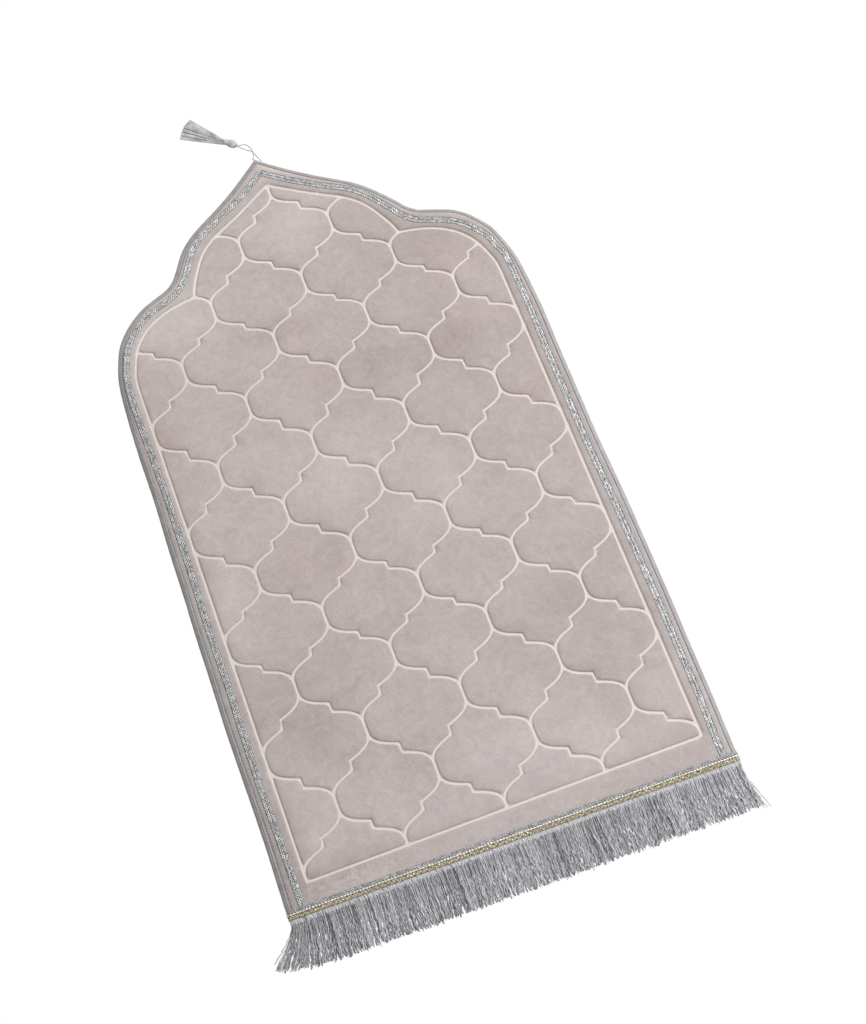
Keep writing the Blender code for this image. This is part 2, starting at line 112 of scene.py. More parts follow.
PANEL_INSET = 7.8
EDGE_Z = 8.5
MARGIN_Z = 11.0
CHANNEL_Z = 9.6
CUSHION_Z = 11.3
CROWN_RISE = 1.0
CROWN_REACH = 8.0
CHANNEL_WALL = (0.8, 2.6)
EDGE_ROUND = 3.4
RING_SHARES = (0.988, 0.976, 0.962, 0.945, 0.92, 0.88, 0.81, 0.7, 0.54, 0.36, 0.17)
FRAME_RINGS = (-0.9, -1.8, -2.9, -5.5)
EDGE_RINGS = (25.5, 20.5, 15.5, 11.4, 10.2, 9.0, 8.2, PANEL_INSET)
BORDER_GRID = 7.0
LINE_SAMPLE = 0.6
FILLET = 1.6
LIGHT_PLAN = Vector((0.8, 0.6, 0.0))
# reach of the painted shade beside the lines, in the cells and on the border
LEE_REACH = 11.0
BORDER_LEE_REACH = 5.5
SHADE_PATCHES = (
    # x, y, half width, half height, strength: where the pile is lighter (+) or darker (-), partly its brushed
    # nap and partly painted light and shade
    (20, 480, 55, 50, 0.9),
    (-200, 370, 80, 50, 0.7),
    (-50, 70, 60, 60, 0.6),
    (80, 0, 60, 60, 0.4),
    (250, -80, 50, 60, 0.3),
    (-260, -80, 30, 50, 0.5),
    (50, -400, 70, 50, 0.6),
    (135, -440, 60, 40, 0.7),
    (270, -410, 40, 80, 0.4),
    (250, 260, 40, 60, 0.2),
    (170, 370, 60, 45, -0.5),
    (-70, 300, 60, 20, -0.4),
    (60, 205, 90, 35, -0.6),
    (180, 200, 45, 30, -0.7),
    (-270, 200, 30, 45, -0.6),
    (-150, -50, 60, 50, -0.5),
    (-190, -200, 100, 50, -0.6),
    (-210, -285, 60, 45, -0.8),
    (-80, -370, 35, 30, -0.6),
    (190, -240, 60, 40, -0.4),
    (200, -345, 35, 25, -0.3),
    # painted shade: the rows near x -306 to -320 darken the left border, which faces away from the light
    (-306, -130, 30, 340, -0.95),
    (302, -160, 24, 330, 0.2),
    (314, 40, 9, 260, -0.5),
    (-306, -450, 34, 80, -1),
    (-225, -485, 90, 24, -0.9),
    (0, 578, 95, 24, 0.9),
    (130, 512, 26, 24, 0.7),
    (262, 402, 40, 14, 0.5),
    (-320, -330, 12, 60, -0.5),
    (-165, -350, 30, 30, -0.5),
)
GREY_PATCHES = (
    # the same for where the velvet looks greyer
    (-312, -190, 28, 320, 1),
    (-90, 515, 60, 40, 0.5),
    (-215, 405, 60, 30, 0.6),
    (10, 590, 120, 20, 0.5),
    (322, -480, 18, 70, 0.7),
    (265, 402, 45, 16, 0.7),
)
RUBBED_PATCHES = (
    # the same for where the pile is rubbed into light wisps
    (-215, -493, 75, 12, 0.8),
)
WARM_PATCHES = (
    # the same for where the velvet looks pinker (+) or cooler (-)
    (230, 330, 60, 60, 0.6),
    (230, 215, 80, 22, 0.9),
    (110, 500, 40, 30, 0.5),
    (-40, 290, 60, 30, 0.5),
    (-20, 215, 70, 30, 0.4),
    (-285, 180, 40, 60, 0.5),
    (265, 80, 40, 40, 0.5),
    (-110, -70, 90, 70, 0.25),
    (0, 480, 80, 60, -0.2),
    (0, -450, 260, 90, -0.35),
    (-322, -130, 22, 340, -1.2),
    (318, -160, 18, 330, -1.3),
)
PATCHES = {
    "nap_and_painted_shade": SHADE_PATCHES,
    "warm_shade": WARM_PATCHES,
    "grey_shade": GREY_PATCHES,
    "rubbed_pile": RUBBED_PATCHES,
}
CLOUDS = (
    # size, detail, how far drawn out, weight
    (70.0, 3.0, 0.0, 0.5), (26.0, 6.0, 2.0, 0.8), (7.0, 5.0, 1.0, 0.6),
)
COOL_TINT = (0.95, 1.012, 1.06, 1.0)
WARM_TINT = (1.035, 0.975, 0.955, 1.0)
GREY_TINT = (1.0, 1.06, 1.025, 1.0)
LINE_FAR = 20.0
SWELL_SIZE = 38.0
CROWN_SWELL = 0.25
BORDER_SWELL = 0.12
HUB_TRIES = 60
HUB_CLEAR = 2.5
GRID_COLUMNS = (-48, 49)
GRID_ROWS = (-76, 87)
GRID_CLEAR = 0.6
PANEL_STEP = 6.0
BELOW_HEM = 60.0
EDGE_STEP = 4.0

# ---- Binding ----

BINDING_STEP = 3.5
BINDING_CLOTH = 0.7
BINDING_SECTION = (
    # inset from the edge, height: from under the mat, up the outer side and over to the seam
    (7.4, 0.02), (4.0, 0.02), (1.4, 0.05), (0.5, 0.7), (0.1, 1.9), (0.0, 3.3), (0.1, 4.6), (0.5, 5.7),
    (1.1, 6.6), (1.9, 7.4), (2.7, 7.95), (3.5, 8.3), (4.1, 8.3), (4.7, 8.75), (5.4, 9.35), (6.1, 9.5),
    (6.8, 9.35), (7.3, 8.95), (7.6, 8.3),
)
PUCKER = 0.3
PUCKER_SIZES = (7.0, 2.6)
PUCKER_LIMIT = 0.1
PUCKER_FROM = 0.5

# ---- Braids ----

BRAID_INSET = (
    # y of the edge, inset of the braid's middle on the left, on the right
    (600, 22.5, 22.5),
    (560, 20.3, 20.3),
    (529, 16.4, 17.6),
    (505, 15.4, 14.6),
    (450, 17.9, 18.3),
    (424, 17.9, 21.4),
    (406, 15.8, 22),
    (345, 13.3, 17),
    (310, 13.6, 14.6),
    (270, 13.9, 17.2),
    (165, 18.3, 19.9),
    (20, 20.2, 19.9),
    (-80, 19.7, 19.9),
    (-210, 21.6, 19.9),
    (-340, 19.1, 18.9),
    (-420, 20.6, 18.8),
    (-500, 22.8, 20.4),
)
BRAID_WIDTHS = (
    # side, shift from the inset above, how far a row lies from the middle, swing of a row, half of the tape,
    # how far the tape's middle lies from the braid's
    (-1, 0.5, 2.3, 1.5, 4.9, 0.2),
    (1, 0.9, 2.35, 1.3, 4.9, -0.9),
)
BRAID_FOOT = 10.9
BRAID_FLOOR = MARGIN_Z + 0.05
BRAID_SINK = 0.6
TAPE_THICK = 0.3
TAPE_STEP = 4.0
TURN_STEPS = 9
# Each plait: the length of a turn, its swing to the sides, its lift over the floor, the radius of a thread,
# how far the thread wanders, and the length of a bead.
BORDER_ROW = {"turn": 8.6, "lift": 0.2, "radius": 0.72, "loose": 0.9}
HEM_CHAIN = {"turn": 3.8, "swing": 0.9, "lift": 0.3, "radius": 0.52, "loose": 0.8}
HEM_BEADS = {"turn": 3.8, "swing": 0.0, "lift": 0.2, "radius": 1.15, "loose": 0.4, "bead": 4.4}
HEM_GOLD = {"turn": 9.0, "swing": 1.95, "lift": 0.4, "radius": 0.75, "loose": 0.8}
GOLD_TURN_STEPS = 14
WANDER_SIZE = 3.5
THREAD_SWELL = 0.4

# Distances from the hem's edge up the rug, and the half width and the middle of each tape.
CHAIN_ROWS = (9.8, 12.1)
BEADS_MIDDLE = 6.9
GOLD_MIDDLE = 2.6
CHAIN_TAPE = (3.7, 9.6)
GOLD_TAPE = (2.3, GOLD_MIDDLE)
HEM_END_DROP = (
    # inset from the bound edge, how far the braid has bent down there
    (0.4, 3.6), (2.4, 1.2), (6.5, 0.0),
)

# ---- Fringe ----

HEADER_SECTION = (
    # down from the hem's edge, height: over the top, and back under it
    (0.1, 10.3), (1.4, 9.6), (3.2, 8.1), (5.0, 6.4), (6.6, 4.7), (7.2, 3.6), (6.4, 3.2), (0.1, 8.1),
    (0.1, 10.3),
)
THREAD_ROOTS = (
    # down from the hem's edge, height: under the header tape, and out at its lower edge
    (5.2, 3.9), (7.6, 3.4),
)
THREAD_LENGTH = 59.5
THREAD_STEPS = 17
HANG_RATE = 2.8
HANG_CURVE = 1.5
LIE_SPREAD = 0.4
SPLAY_LEFT = 38.0
SPLAY_RIGHT = 9.0
SPLAY_REACH = 26.0
SPLAY_POWER = 1.3
LAYERS = (
    # name, locks, threads in a lock, thread radius, lowest and highest lie, stray of a tip, tone weights
    # the under layer's grey and dark threads are painted shade below the lit threads above
    ("fringe_under_threads", 330, 3, 0.85, 0.0, 0.4, 0.5, (14, 60, 24, 2)),
    ("fringe_middle_threads", 250, 3, 0.42, 0.8, 1.7, 2.2, (38, 44, 16, 2)),
    ("fringe_top_threads", 260, 3, 0.4, 1.5, 2.6, 3.8, (70, 22, 6, 2)),
)
THREAD_WAVE = (0.5, 1.3)
WAVE_LENGTH = (11.0, 26.0)
OWN_WAVE = (0.1, 0.5)
OWN_TURN = 1.9
GATHER = (0.2, 1.0)
LOCK_TRIM = 1.6
THREAD_TRIM = 6.0
SAME_TONE = 0.35
HEADER_STITCH = (
    # down from the hem's edge, height: a stitch over the header tape
    (0.0, 10.7), (2.0, 9.7), (4.2, 8.0), (6.4, 6.2), (9.0, 4.9),
)
HEADER_STITCHES = 560
STITCH_TONES = (92, 6, 2, 0)
STITCH_LEAN = (0.25, 0.16)
STITCH_LENGTH = (0.6, 1.0)
HEADER_SHORT = 0.7
HEADER_STEP = 2.5
HEADER_RIPPLE = (0.25, 4)
FRINGE_SHORT = 1.0
SHORT_SPOT = (250.0, 8.0, 0.3)
STRAYS = (
    # start left of the right end, lean at the tip, length
    (0.6, 15.5, 66.0), (1.4, 13.0, 64.5), (2.6, 17.5, 62.0), (5.0, 12.5, 65.0),
)

# ---- Tassel and cord ----

TASSEL_END = (-20.5, 634.5)
TASSEL_HEADING = 139.5
TASSEL_HEAD = (
    # along the axis, half width, half height, height of the middle
    (0.0, 1.0, 0.9, 4.0),
    (0.8, 3.0, 2.2, 4.0),
    (2.5, 4.7, 3.5, 4.2),
    (6.5, 6.5, 4.5, 4.8),
    (11.0, 6.4, 4.5, 4.8),
    (15.5, 4.8, 3.5, 4.2),
    (19.0, 3.9, 2.8, 3.8),
    (22.0, 4.2, 2.7, 3.7),
)
HEAD_FLUTES = 22
FLUTE_DEPTH = 0.06
HEAD_STEP = 0.7
HEAD_TIE = (17.0, 21.0, 6)
TIE_STEPS = 20
TIE_OUT = 0.25
TIE_THREAD = 0.4
SKIRT_FROM = 19.5
SKIRT_LENGTH = 72.0
SKIRT_ROOT = (7.0, 4.2)
SKIRT_SPREAD = 38.5
SKIRT_THREAD = 0.5
SKIRT_STEPS = 9
SKIRT_TRIM = (-1.6, 1.0)
SKIRT_CURL = 0.12
SKIRT_BOW = 0.12
SKIRT_FALL = 0.55
SKIRT_GROUPS = (
    # from, to across the skirt, threads, height over the floor, tone weights
    # the first group, grey and dark threads under the rest, is painted shadow between the groups
    (-0.47, 0.47, 60, 0.0, (0, 40, 60, 0)),
    (0.07, 0.5, 90, 0.6, (97, 3, 0, 0)),
    (-0.11, 0.02, 30, 0.9, (97, 3, 0, 0)),
    (-0.3, -0.17, 32, 0.5, (97, 3, 0, 0)),
    (-0.5, -0.36, 34, 0.8, (97, 3, 0, 0)),
)

CORD_RADIUS = 0.75
CORD_STEP = 0.5
CORD_TWIST = 3.4
CORD_SIDES = 12
PLY_DEPTH = 0.2
# The two legs of the cord, from the rug's tip to the tassel's head
LEFT_LEG = (
    (-3.9, 600.4, 5.2), (-5.0, 602.4, 4.4), (-3.4, 606.4, 2.2), (-1.4, 611.4, 0.9), (-0.8, 618.0, 0.9),
    (-1.9, 625.6, 0.9), (-5.4, 631.8, 1.0), (-10.8, 634.4, 1.8), (-15.6, 633.6, 3.2), (-18.2, 633.8, 3.9),
    (-19.6, 635.0, 4.0),
)
RIGHT_LEG = (
    (5.5, 594.2, 5.2), (6.4, 595.6, 4.8), (5.6, 598.8, 3.6), (3.2, 604.8, 2.4), (0.4, 612.2, 3.0),
    (-2.8, 618.4, 2.6), (-7.4, 622.6, 0.9), (-12.8, 627.3, 1.6), (-17.6, 630.8, 3.2), (-19.3, 632.1, 3.9),
    (-20.9, 633.5, 4.0),
)

# ---- Threads and tapes ----

METAL = {"Metallic": 0.2, "Roughness": 0.42}
GILT = {"Metallic": 0.3, "Roughness": 0.32}
TAPE = {"Metallic": 0.2, "Roughness": 0.5}
FLOSS = {"Metallic": 0.1, "Roughness": 0.5, "Specular_IOR_Level": 0.3}
SILK = {"Roughness": 0.5}
THREADS = {
    # darkest and lightest colour, size of its patches, brightness left and right (painted shade and light),
    # how narrow they are, finish
    "silver_thread": ((148, 149, 149), (252, 252, 253), 3.6, (0.855, 1.15), 1.0, METAL),
    "bright_silver_thread": ((200, 198, 193), (252, 250, 246), 4.4, (0.98, 1.16), 1.0, METAL),
    # the darker of the hem chain's two strands
    "darker_silver_thread": ((126, 123, 122), (187, 183, 182), 4.0, (0.9, 1.1), 1.0, METAL),
    "gold_thread": ((164, 147, 112), (241, 233, 210), 2.6, (0.92, 1.2), 1.0, GILT),
    "olive_thread": ((104, 88, 60), (208, 189, 142), 2.6, (0.92, 1.2), 1.0, GILT),
    # the dark tape shows in the gaps between the threads as painted shade
    "dark_ground_tape": ((76, 76, 77), (158, 158, 160), 5.0, (0.74, 1.17), 1.0, TAPE),
    "brown_ground_tape": ((70, 56, 36), (132, 112, 76), 3.0, (0.9, 1.1), 1.0, TAPE),
    "pale_thread": ((170, 169, 173), (240, 239, 243), 5.5, (0.86, 1.18), 5.0, FLOSS),
    "grey_thread": ((132, 130, 134), (200, 198, 202), 5.5, (0.86, 1.18), 5.0, FLOSS),
    "dark_thread": ((92, 90, 94), (146, 144, 148), 5.5, (0.86, 1.18), 5.0, FLOSS),
    "bronze_thread": ((140, 134, 126), (196, 189, 180), 5.5, (0.86, 1.18), 5.0, FLOSS),
    "bright_header_thread": ((222, 221, 226), (252, 252, 254), 3.0, (1.0, 1.28), 1.0, SILK),
    "pale_tassel_silk": ((192, 192, 194), (240, 240, 242), 14.0, (1.0, 1.0), 1.0, SILK),
    "tassel_silk": ((176, 176, 178), (225, 225, 227), 6.0, (1.0, 1.0), 1.0, SILK),
}

# ---- Camera and light ----

CAMERA_AT = (-0.2672, -0.8357, 2.298)
CAMERA_TURN = (20.424, -0.636, -20.388)
LENS = 59.77
KEY_AT = (2.6, 1.3, 2.3)
KEY_ANGLE = 18.0
KEY_POWER = 2.53
ROOM_LIGHT = 0.5
FLOOR_HALF = 6.0
WHITE = (1.0, 1.0, 1.0, 1.0)


# ======== Materials ========


def put(tree, kind, inputs=None, **settings):
    """Adds a shader node. Inputs are values, or sockets to link from."""
    made = tree.nodes.new("ShaderNode" + kind)
    for name, value in settings.items():
        setattr(made, name, value)
    for name, value in (inputs or {}).items():
        shown = [socket for socket in made.inputs if socket.enabled]
        socket = shown[name] if isinstance(name, int) else next(s for s in shown if s.name == name)
        if isinstance(value, bpy.types.NodeSocket):
            tree.links.new(value, socket)
        else:
            socket.default_value = value
    return made


def worked(tree, operation, *values):
    """The result of a sum on one to three values."""
    return put(tree, "Math", dict(enumerate(values)), operation=operation).outputs[0]


def ramped(tree, value, low, high, first=0.0, last=1.0, **settings):
    """The value, brought from between low and high to between first and last."""
    inputs = {"Value": value, "From Min": low, "From Max": high, "To Min": first, "To Max": last}
    return put(tree, "MapRange", inputs, **settings).outputs["Result"]


def kept(tree, name):
    """What the panel's points hold under a name."""
    return put(tree, "Attribute", attribute_name=name).outputs["Fac"]


def blend(tree, share, low, high, **settings):
    """A colour between two, as the socket of the shader node that mixes them."""
    mixed = put(tree, "Mix", {"Factor": share, "A": low, "B": high}, data_type="RGBA", **settings)
    return next(socket for socket in mixed.outputs if socket.enabled)


def srgb(red, green, blue):
    """A colour given as it looks, 0 to 255, in the linear values that a shader takes."""
    shown = (red / 255, green / 255, blue / 255)
    return (*(((part + 0.055) / 1.055) ** 2.4 for part in shown), 1.0)


def new_group(name, inputs, output):
    """An effect that several materials use, with numbers going in and one coming out."""
    group = bpy.data.node_groups.new(name, "ShaderNodeTree")
    for label, value in inputs.items():
        socket = group.interface.new_socket(label, in_out="INPUT", socket_type="NodeSocketFloat")
        socket.default_value = value
    group.interface.new_socket(output, in_out="OUTPUT", socket_type="NodeSocketFloat")
    return group, group.nodes.new("NodeGroupInput").outputs, group.nodes.new("NodeGroupOutput").inputs[0]


def make_mottle():
    """Soft uneven patches, read from the place on the rug: 0 to 1. Distortion draws them out into wisps, and
    Narrow, over 1, makes them streaks along the rug."""
    inputs = {"Size mm": 40.0, "Detail": 3.0, "Distortion": 0.0, "Narrow": 1.0}
    group, given, result = new_group("mottle", inputs, "Tone")
    place = put(group, "TexCoord").outputs["Object"]
    squeeze = put(group, "CombineXYZ", {"X": given["Narrow"], "Y": 1.0, "Z": 1.0}).outputs[0]
    place = put(group, "VectorMath", {0: place, 1: squeeze}, operation="MULTIPLY").outputs[0]
    inputs = {"Vector": place, "Scale": worked(group, "DIVIDE", 1000.0, given["Size mm"]), "Roughness": 0.6}
    inputs |= {label: given[label] for label in ("Detail", "Distortion")}
    cloud = put(group, "TexNoise", inputs).outputs["Fac"]
    group.links.new(ramped(group, cloud, 0.3, 0.7), result)
    return group


def make_ribs():
    """Ribs or ticks across a strip, from its UV map in millimetres, as a height from 0 to 1."""
    group, given, result = new_group("ribs", {"Period mm": 2.0, "Slant": 1.0}, "Height")
    place = put(group, "TexCoord").outputs["UV"]
    parts = put(group, "SeparateXYZ", {0: place}).outputs
    leaning = worked(group, "MULTIPLY_ADD", parts["Y"], given["Slant"], parts["X"])
    angle = worked(group, "MULTIPLY", worked(group, "DIVIDE", leaning, given["Period mm"]), math.tau)
    height = worked(group, "MULTIPLY_ADD", worked(group, "SINE", angle), 0.5, 0.5)
    group.links.new(height, result)
    return group


def make_light_side():
    """From 0 at the rug's left side to 1 at its right side, and nearly so round its arch, where the metal
    threads look brighter: a share for painted light towards the lamp's side and painted shade away from it."""
    group, _, result = new_group("sides", {}, "Share")
    place = put(group, "TexCoord").outputs["Object"]
    parts = put(group, "SeparateXYZ", {0: place}).outputs
    across = ramped(group, parts["X"], -0.32, 0.32)
    along = ramped(group, parts["Y"], 0.26, 0.42, 0.0, 0.85)
    group.links.new(worked(group, "MAXIMUM", across, along), result)
    return group


def use(tree, group, **values):
    """What a group gives out, with its inputs set to the values."""
    made = put(tree, "Group", node_tree=group)
    for label, value in values.items():
        made.inputs[label.replace("_", " ")].default_value = value
    return made.outputs[0]


def new_material(name, **settings):
    material = bpy.data.materials.new(name)
    material.use_nodes = True
    tree = material.node_tree
    shader = tree.nodes["Principled BSDF"]
    for label, value in settings.items():
        shader.inputs[label.replace("_", " ")].default_value = value
    return material, tree, shader


def cover(tree, shader, colour, height, strength, distance):
    """Gives the shader its colour, and fine relief from a height."""
    tree.links.new(colour, shader.inputs["Base Color"])
    bump = put(tree, "Bump", {"Height": height, "Strength": strength, "Distance": distance})
    tree.links.new(bump.outputs["Normal"], shader.inputs["Normal"])


def with_painted_side_light(tree, sides, colour, left, right):
    """The colour with painted shade towards the rug's left side, which faces away from the light, and painted
    light towards its right side.
    """
    factor = ramped(tree, use(tree, sides), 0.0, 1.0, left, right)
    return blend(tree, 1.0, colour, factor, blend_type="MULTIPLY", clamp_result=True)


def velvet_material(mottle, sides):
    """Brushed pile in clouds of light and dark, partly painted shade and light, with painted brown shade
    beside the pressed lines on the cells' walls that face away from the light. The lines are cream, with
    painted light towards the right.
    """
    material, tree, shader = new_material(
        "dusty_velvet", Roughness=0.88, Sheen_Weight=0.3, Sheen_Roughness=0.45, Specular_IOR_Level=0.15
    )
    # lighter and darker pile: brushed nap, with painted shade and light from the patches
    tone = kept(tree, "nap_and_painted_shade")
    for size, detail, drawn, weight in CLOUDS:
        cloud = use(tree, mottle, Size_mm=size, Detail=detail, Distortion=drawn)
        tone = worked(tree, "MULTIPLY_ADD", cloud, weight, tone)
    pile = blend(tree, ramped(tree, tone, -1.15, 2.05), srgb(155, 142, 139), srgb(206, 196, 193))

    tinge = use(tree, mottle, Size_mm=34.0, Detail=4.0, Distortion=1.0)
    warm = ramped(tree, worked(tree, "MULTIPLY_ADD", tinge, 0.7, kept(tree, "warm_shade")), -1.15, 1.35)
    tint = blend(tree, warm, COOL_TINT, WARM_TINT)
    pile = blend(tree, 1.0, pile, tint, blend_type="MULTIPLY")

    # painted brown shade where the cells' walls face away from the light
    shade_patchiness = use(tree, mottle, Size_mm=40.0, Detail=3.0)
    shade = worked(tree, "MULTIPLY", kept(tree, "painted_lee_shade"), shade_patchiness)
    pile = blend(tree, shade, pile, srgb(152, 136, 120))

    wisps = use(tree, mottle, Size_mm=11.0, Detail=5.0, Distortion=2.5)
    wisps = ramped(tree, wisps, 0.35, 0.8, interpolation_type="SMOOTHSTEP")
    rubbed = worked(tree, "MULTIPLY", kept(tree, "rubbed_pile"), wisps)
    pile = blend(tree, rubbed, pile, srgb(202, 194, 188))

    uneven = use(tree, mottle, Size_mm=8.0, Detail=3.0)
    distance = worked(tree, "MULTIPLY_ADD", uneven, 0.4, kept(tree, "line_distance"))
    pressed = ramped(tree, distance, 2.05, 1.3, interpolation_type="SMOOTHSTEP")
    # painted light: the cream lines darker on the left, lighter on the right
    pile = blend(tree, pressed, pile, with_painted_side_light(tree, sides, srgb(227, 217, 213), 0.88, 1.08))

    pile = blend(tree, kept(tree, "grey_shade"), pile, GREY_TINT, blend_type="MULTIPLY")
    cover(tree, shader, pile, use(tree, mottle, Size_mm=3.0, Detail=6.0), 0.4, 0.0006)
    return material


def backing_material(mottle):
    """Plain felt on the underside."""
    material, tree, shader = new_material("grey_felt_backing", Roughness=0.95)
    felt = blend(tree, use(tree, mottle, Size_mm=2.0, Detail=4.0), srgb(150, 146, 142), srgb(176, 172, 168))
    tree.links.new(felt, shader.inputs["Base Color"])
    return material


def ribbed_material(name, dark, light, mottle, ribs, period, slant, sides, reach, **settings):
    """Woven strip: ribs of two tones, a little uneven from place to place, with painted shade towards the
    rug's left side and painted light towards its right.
    """
    material, tree, shader = new_material(name, **settings)
    rib = use(tree, ribs, Period_mm=period, Slant=slant)
    tone = use(tree, mottle, Size_mm=14.0, Detail=4.0)
    share = worked(tree, "MULTIPLY", worked(tree, "ADD", rib, tone), 0.5)
    colour = blend(tree, share, srgb(*dark), srgb(*light))
    cover(tree, shader, with_painted_side_light(tree, sides, colour, *reach), rib, 0.3, 0.0003)
    return material


def thread_material(name, mottle, sides, dark, light, size, reach, narrow, finish):
    """Thread whose tone changes from place to place, painted as its twist catching the light, with painted
    shade towards the rug's left side and painted light towards its right.
    """
    material, tree, shader = new_material(name, **finish)
    tone = use(tree, mottle, Size_mm=size, Detail=2.0, Narrow=narrow)
    colour = blend(tree, tone, srgb(*dark), srgb(*light))
    cover(tree, shader, with_painted_side_light(tree, sides, colour, *reach), tone, 0.5, 0.0004)
    return material


# ======== Shapes ========


def as_mesh(name, shape):
    """A mesh of the bmesh, which is freed."""
    mesh = bpy.data.meshes.new(name)
    shape.to_mesh(mesh)
    shape.free()
    return mesh


def placed(name, data):
    """A new object of the data, linked in the scene."""
    item = bpy.data.objects.new(name, data)
    bpy.context.scene.collection.objects.link(item)
    return item


def add_piece(name, shape, materials, slot, *nodes):
    """Links a bmesh in millimetres as a smooth object in metres that rides on the rug."""
    bmesh.ops.scale(shape, vec=(MM, MM, MM), verts=shape.verts)
    mesh = as_mesh(name, shape)
    mesh.shade_smooth()
    mesh.set_sharp_from_angle(angle=math.radians(SHARP_ANGLE))
    for material in materials:
        mesh.materials.append(material)
    item = placed(name, mesh)
    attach(item, "root")
    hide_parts(*nodes)
    return item


def heading(turn):
    """The flat direction at a number of degrees below level."""
    return Vector((math.cos(math.radians(turn)), -math.sin(math.radians(turn))))


def smooth_line(keys):
    """Points of the curve through (x, y, heading) keys."""
    points = [Vector(keys[0][:2])]
    for (x0, y0, turn0), (x1, y1, turn1) in zip(keys, keys[1:]):
        start, end = Vector((x0, y0)), Vector((x1, y1))
        reach = HANDLE * (end - start).length
        leave, arrive = start + reach * heading(turn0), end - reach * heading(turn1)
        curve = interpolate_bezier(start, leave, arrive, end, KEY_STEPS + 1)
        points += [point.to_2d() for point in curve[1:]]
    return points


def hem_y(x):
    return HEM_Y - HEM_SKEW * x


def flipped(points):
    return [Vector((-point.x, point.y)) for point in reversed(points)]


def length_of(line):
    return sum((after - before).length for before, after in zip(line, line[1:]))


def spread(line, count):
    """The line again, in a number of equal steps."""
    lengths = [(after - before).length for before, after in zip(line, line[1:])]
    total = sum(lengths)
    points, index, passed = [line[0]], 0, 0.0
    for number in range(1, count):
        target = total * number / count
        while passed + lengths[index] < target:
            passed += lengths[index]
            index += 1
        points.append(line[index].lerp(line[index + 1], (target - passed) / lengths[index]))
    return points + [line[-1]]


def even(line, step):
    """The line again, with its points about a step apart."""
    return spread(line, max(1, round(length_of(line) / step)))


def sides_of(line):
    """For each point of a flat line, the direction to its right, long enough to keep widths round corners."""
    found = []
    for index, point in enumerate(line):
        before = line[max(index - 1, 0)]
        after = line[min(index + 1, len(line) - 1)]
        runs = [run.normalized() for run in (point - before, after - point) if run.length > 0]
        normals = [Vector((run.y, -run.x)) for run in runs]
        middle = sum(normals, Vector((0, 0))).normalized()
        found.append(middle / middle.dot(normals[0]))
    return found


def inset(line, distance):
    """The line moved to its right; distance is a number, or a function of the point."""
    moved = []
    for point, side in zip(line, sides_of(line)):
        moved.append(point + side * (distance(point) if callable(distance) else distance))
    return moved


def closed_inset(loop, distance):
    return inset([loop[-1], *loop, loop[0]], distance)[1:-1]


def kept_part(line, over):
    """The stretch of a line where over(point) isn't negative, ending on the limit itself."""
    kept = []
    for before, after in zip(line, line[1:]):
        start, end = over(before), over(after)
        if start >= 0:
            kept.append(before)
        if start * end < 0:
            kept.append(before.lerp(after, start / (start - end)))
    return kept + line[-1:] if over(line[-1]) >= 0 else kept


def bound_side(side, distance, foot=0.0):
    """The line at a distance inside the bound edge on the left (-1) or the right (1), from the tip's middle
    down to a distance over the hem's edge. A distance may be a function of the point."""
    keys = [(right_x if side > 0 else -left_x, y, turn) for _, left_x, right_x, y, turn in OUTLINE]
    outer = smooth_line(keys)
    outer.append(outer[-1] - Vector((0, BELOW_HEM)))
    moved = inset(even(outer, EDGE_STEP), distance)
    moved = kept_part(moved, lambda point: point.x - side * TIP_X)
    moved = [Vector((side * point.x, point.y)) for point in moved]
    return kept_part(moved, lambda point: point.y - hem_y(point.x) - foot)


def node_at(column, row):
    return Vector((column * HALF_CELL, TOP_NODE_Y - row * ROW_PITCH + ROW_DRIFT[row]))


def branch(column, row, side):
    """The line from a node's lower end to the upper end of the next node down, to the left or right."""
    curve = interpolate_bezier(*[Vector(point) for point in BRANCH_ARC], ARC_STEPS + 1)
    upper = [Vector((side * point.x, point.y)) for point in curve]
    start, end = node_at(column, row), node_at(column + side, row + 1)
    return [start + point for point in upper] + [end - point for point in reversed(upper)]


def frame_line():
    """Closed loop of the frame. Its necks are a point of the branches that run into them."""
    neck = branch(3, 1, -1)[-1 - NECK_STEP]
    top = [key[1:] for key in FRAME_TOP] + [(neck.x, neck.y, NECK_HEADING[0])]
    shoulder = [(neck.x, neck.y, NECK_HEADING[1])] + [key[1:] for key in FRAME_SHOULDER]
    corner = node_at(LAST_COLUMN, LAST_ROW)
    side = even([Vector(FRAME_SHOULDER[-1][1:3]), corner], FRAME_STEP)
    foot = even([corner, Vector((0.0, corner.y))], FRAME_STEP)
    right = smooth_line(top) + smooth_line(shoulder)[1:] + side[1:] + foot[1:]
    return flipped(right)[:-1] + right[:-1]


def trellis_lines():
    """Branches and upright nodes. Nodes on the frame's sides need no upright of their own."""
    lines = []
    for row in range(LAST_ROW + 1):
        for column in range(-LAST_COLUMN, LAST_COLUMN + 1):
            if (row + column) % 2:
                continue
            if abs(column) < LAST_COLUMN:
                node, half = node_at(column, row), Vector((0, NODE_HALF))
                lines.append(even([node + half, node - half], NODE_STEP))
            for side in (-1, 1):
                if row < LAST_ROW and abs(column + side) <= LAST_COLUMN:
                    lines.append(branch(column, row, side))
    return lines


def numbered(lines):
    """All points of the lines in one list, and for each line the list of its points' numbers."""
    points, numbers = [], []
    for line in lines:
        numbers.append(list(range(len(points), len(points) + len(line))))
        points += line
    return points, numbers


def plan_tree(points):
    """The points, laid flat, in a tree that finds the nearest to a place."""
    tree = kdtree.KDTree(len(points))
    for index, point in enumerate(points):
        tree.insert((point.x, point.y, 0), index)
    tree.balance()
    return tree


def nearest_to(points):
    """A function that gives the distance in plan from a place to the nearest of the points."""
    tree = plan_tree(points)
    return lambda place: tree.find((place.x, place.y, 0))[2]


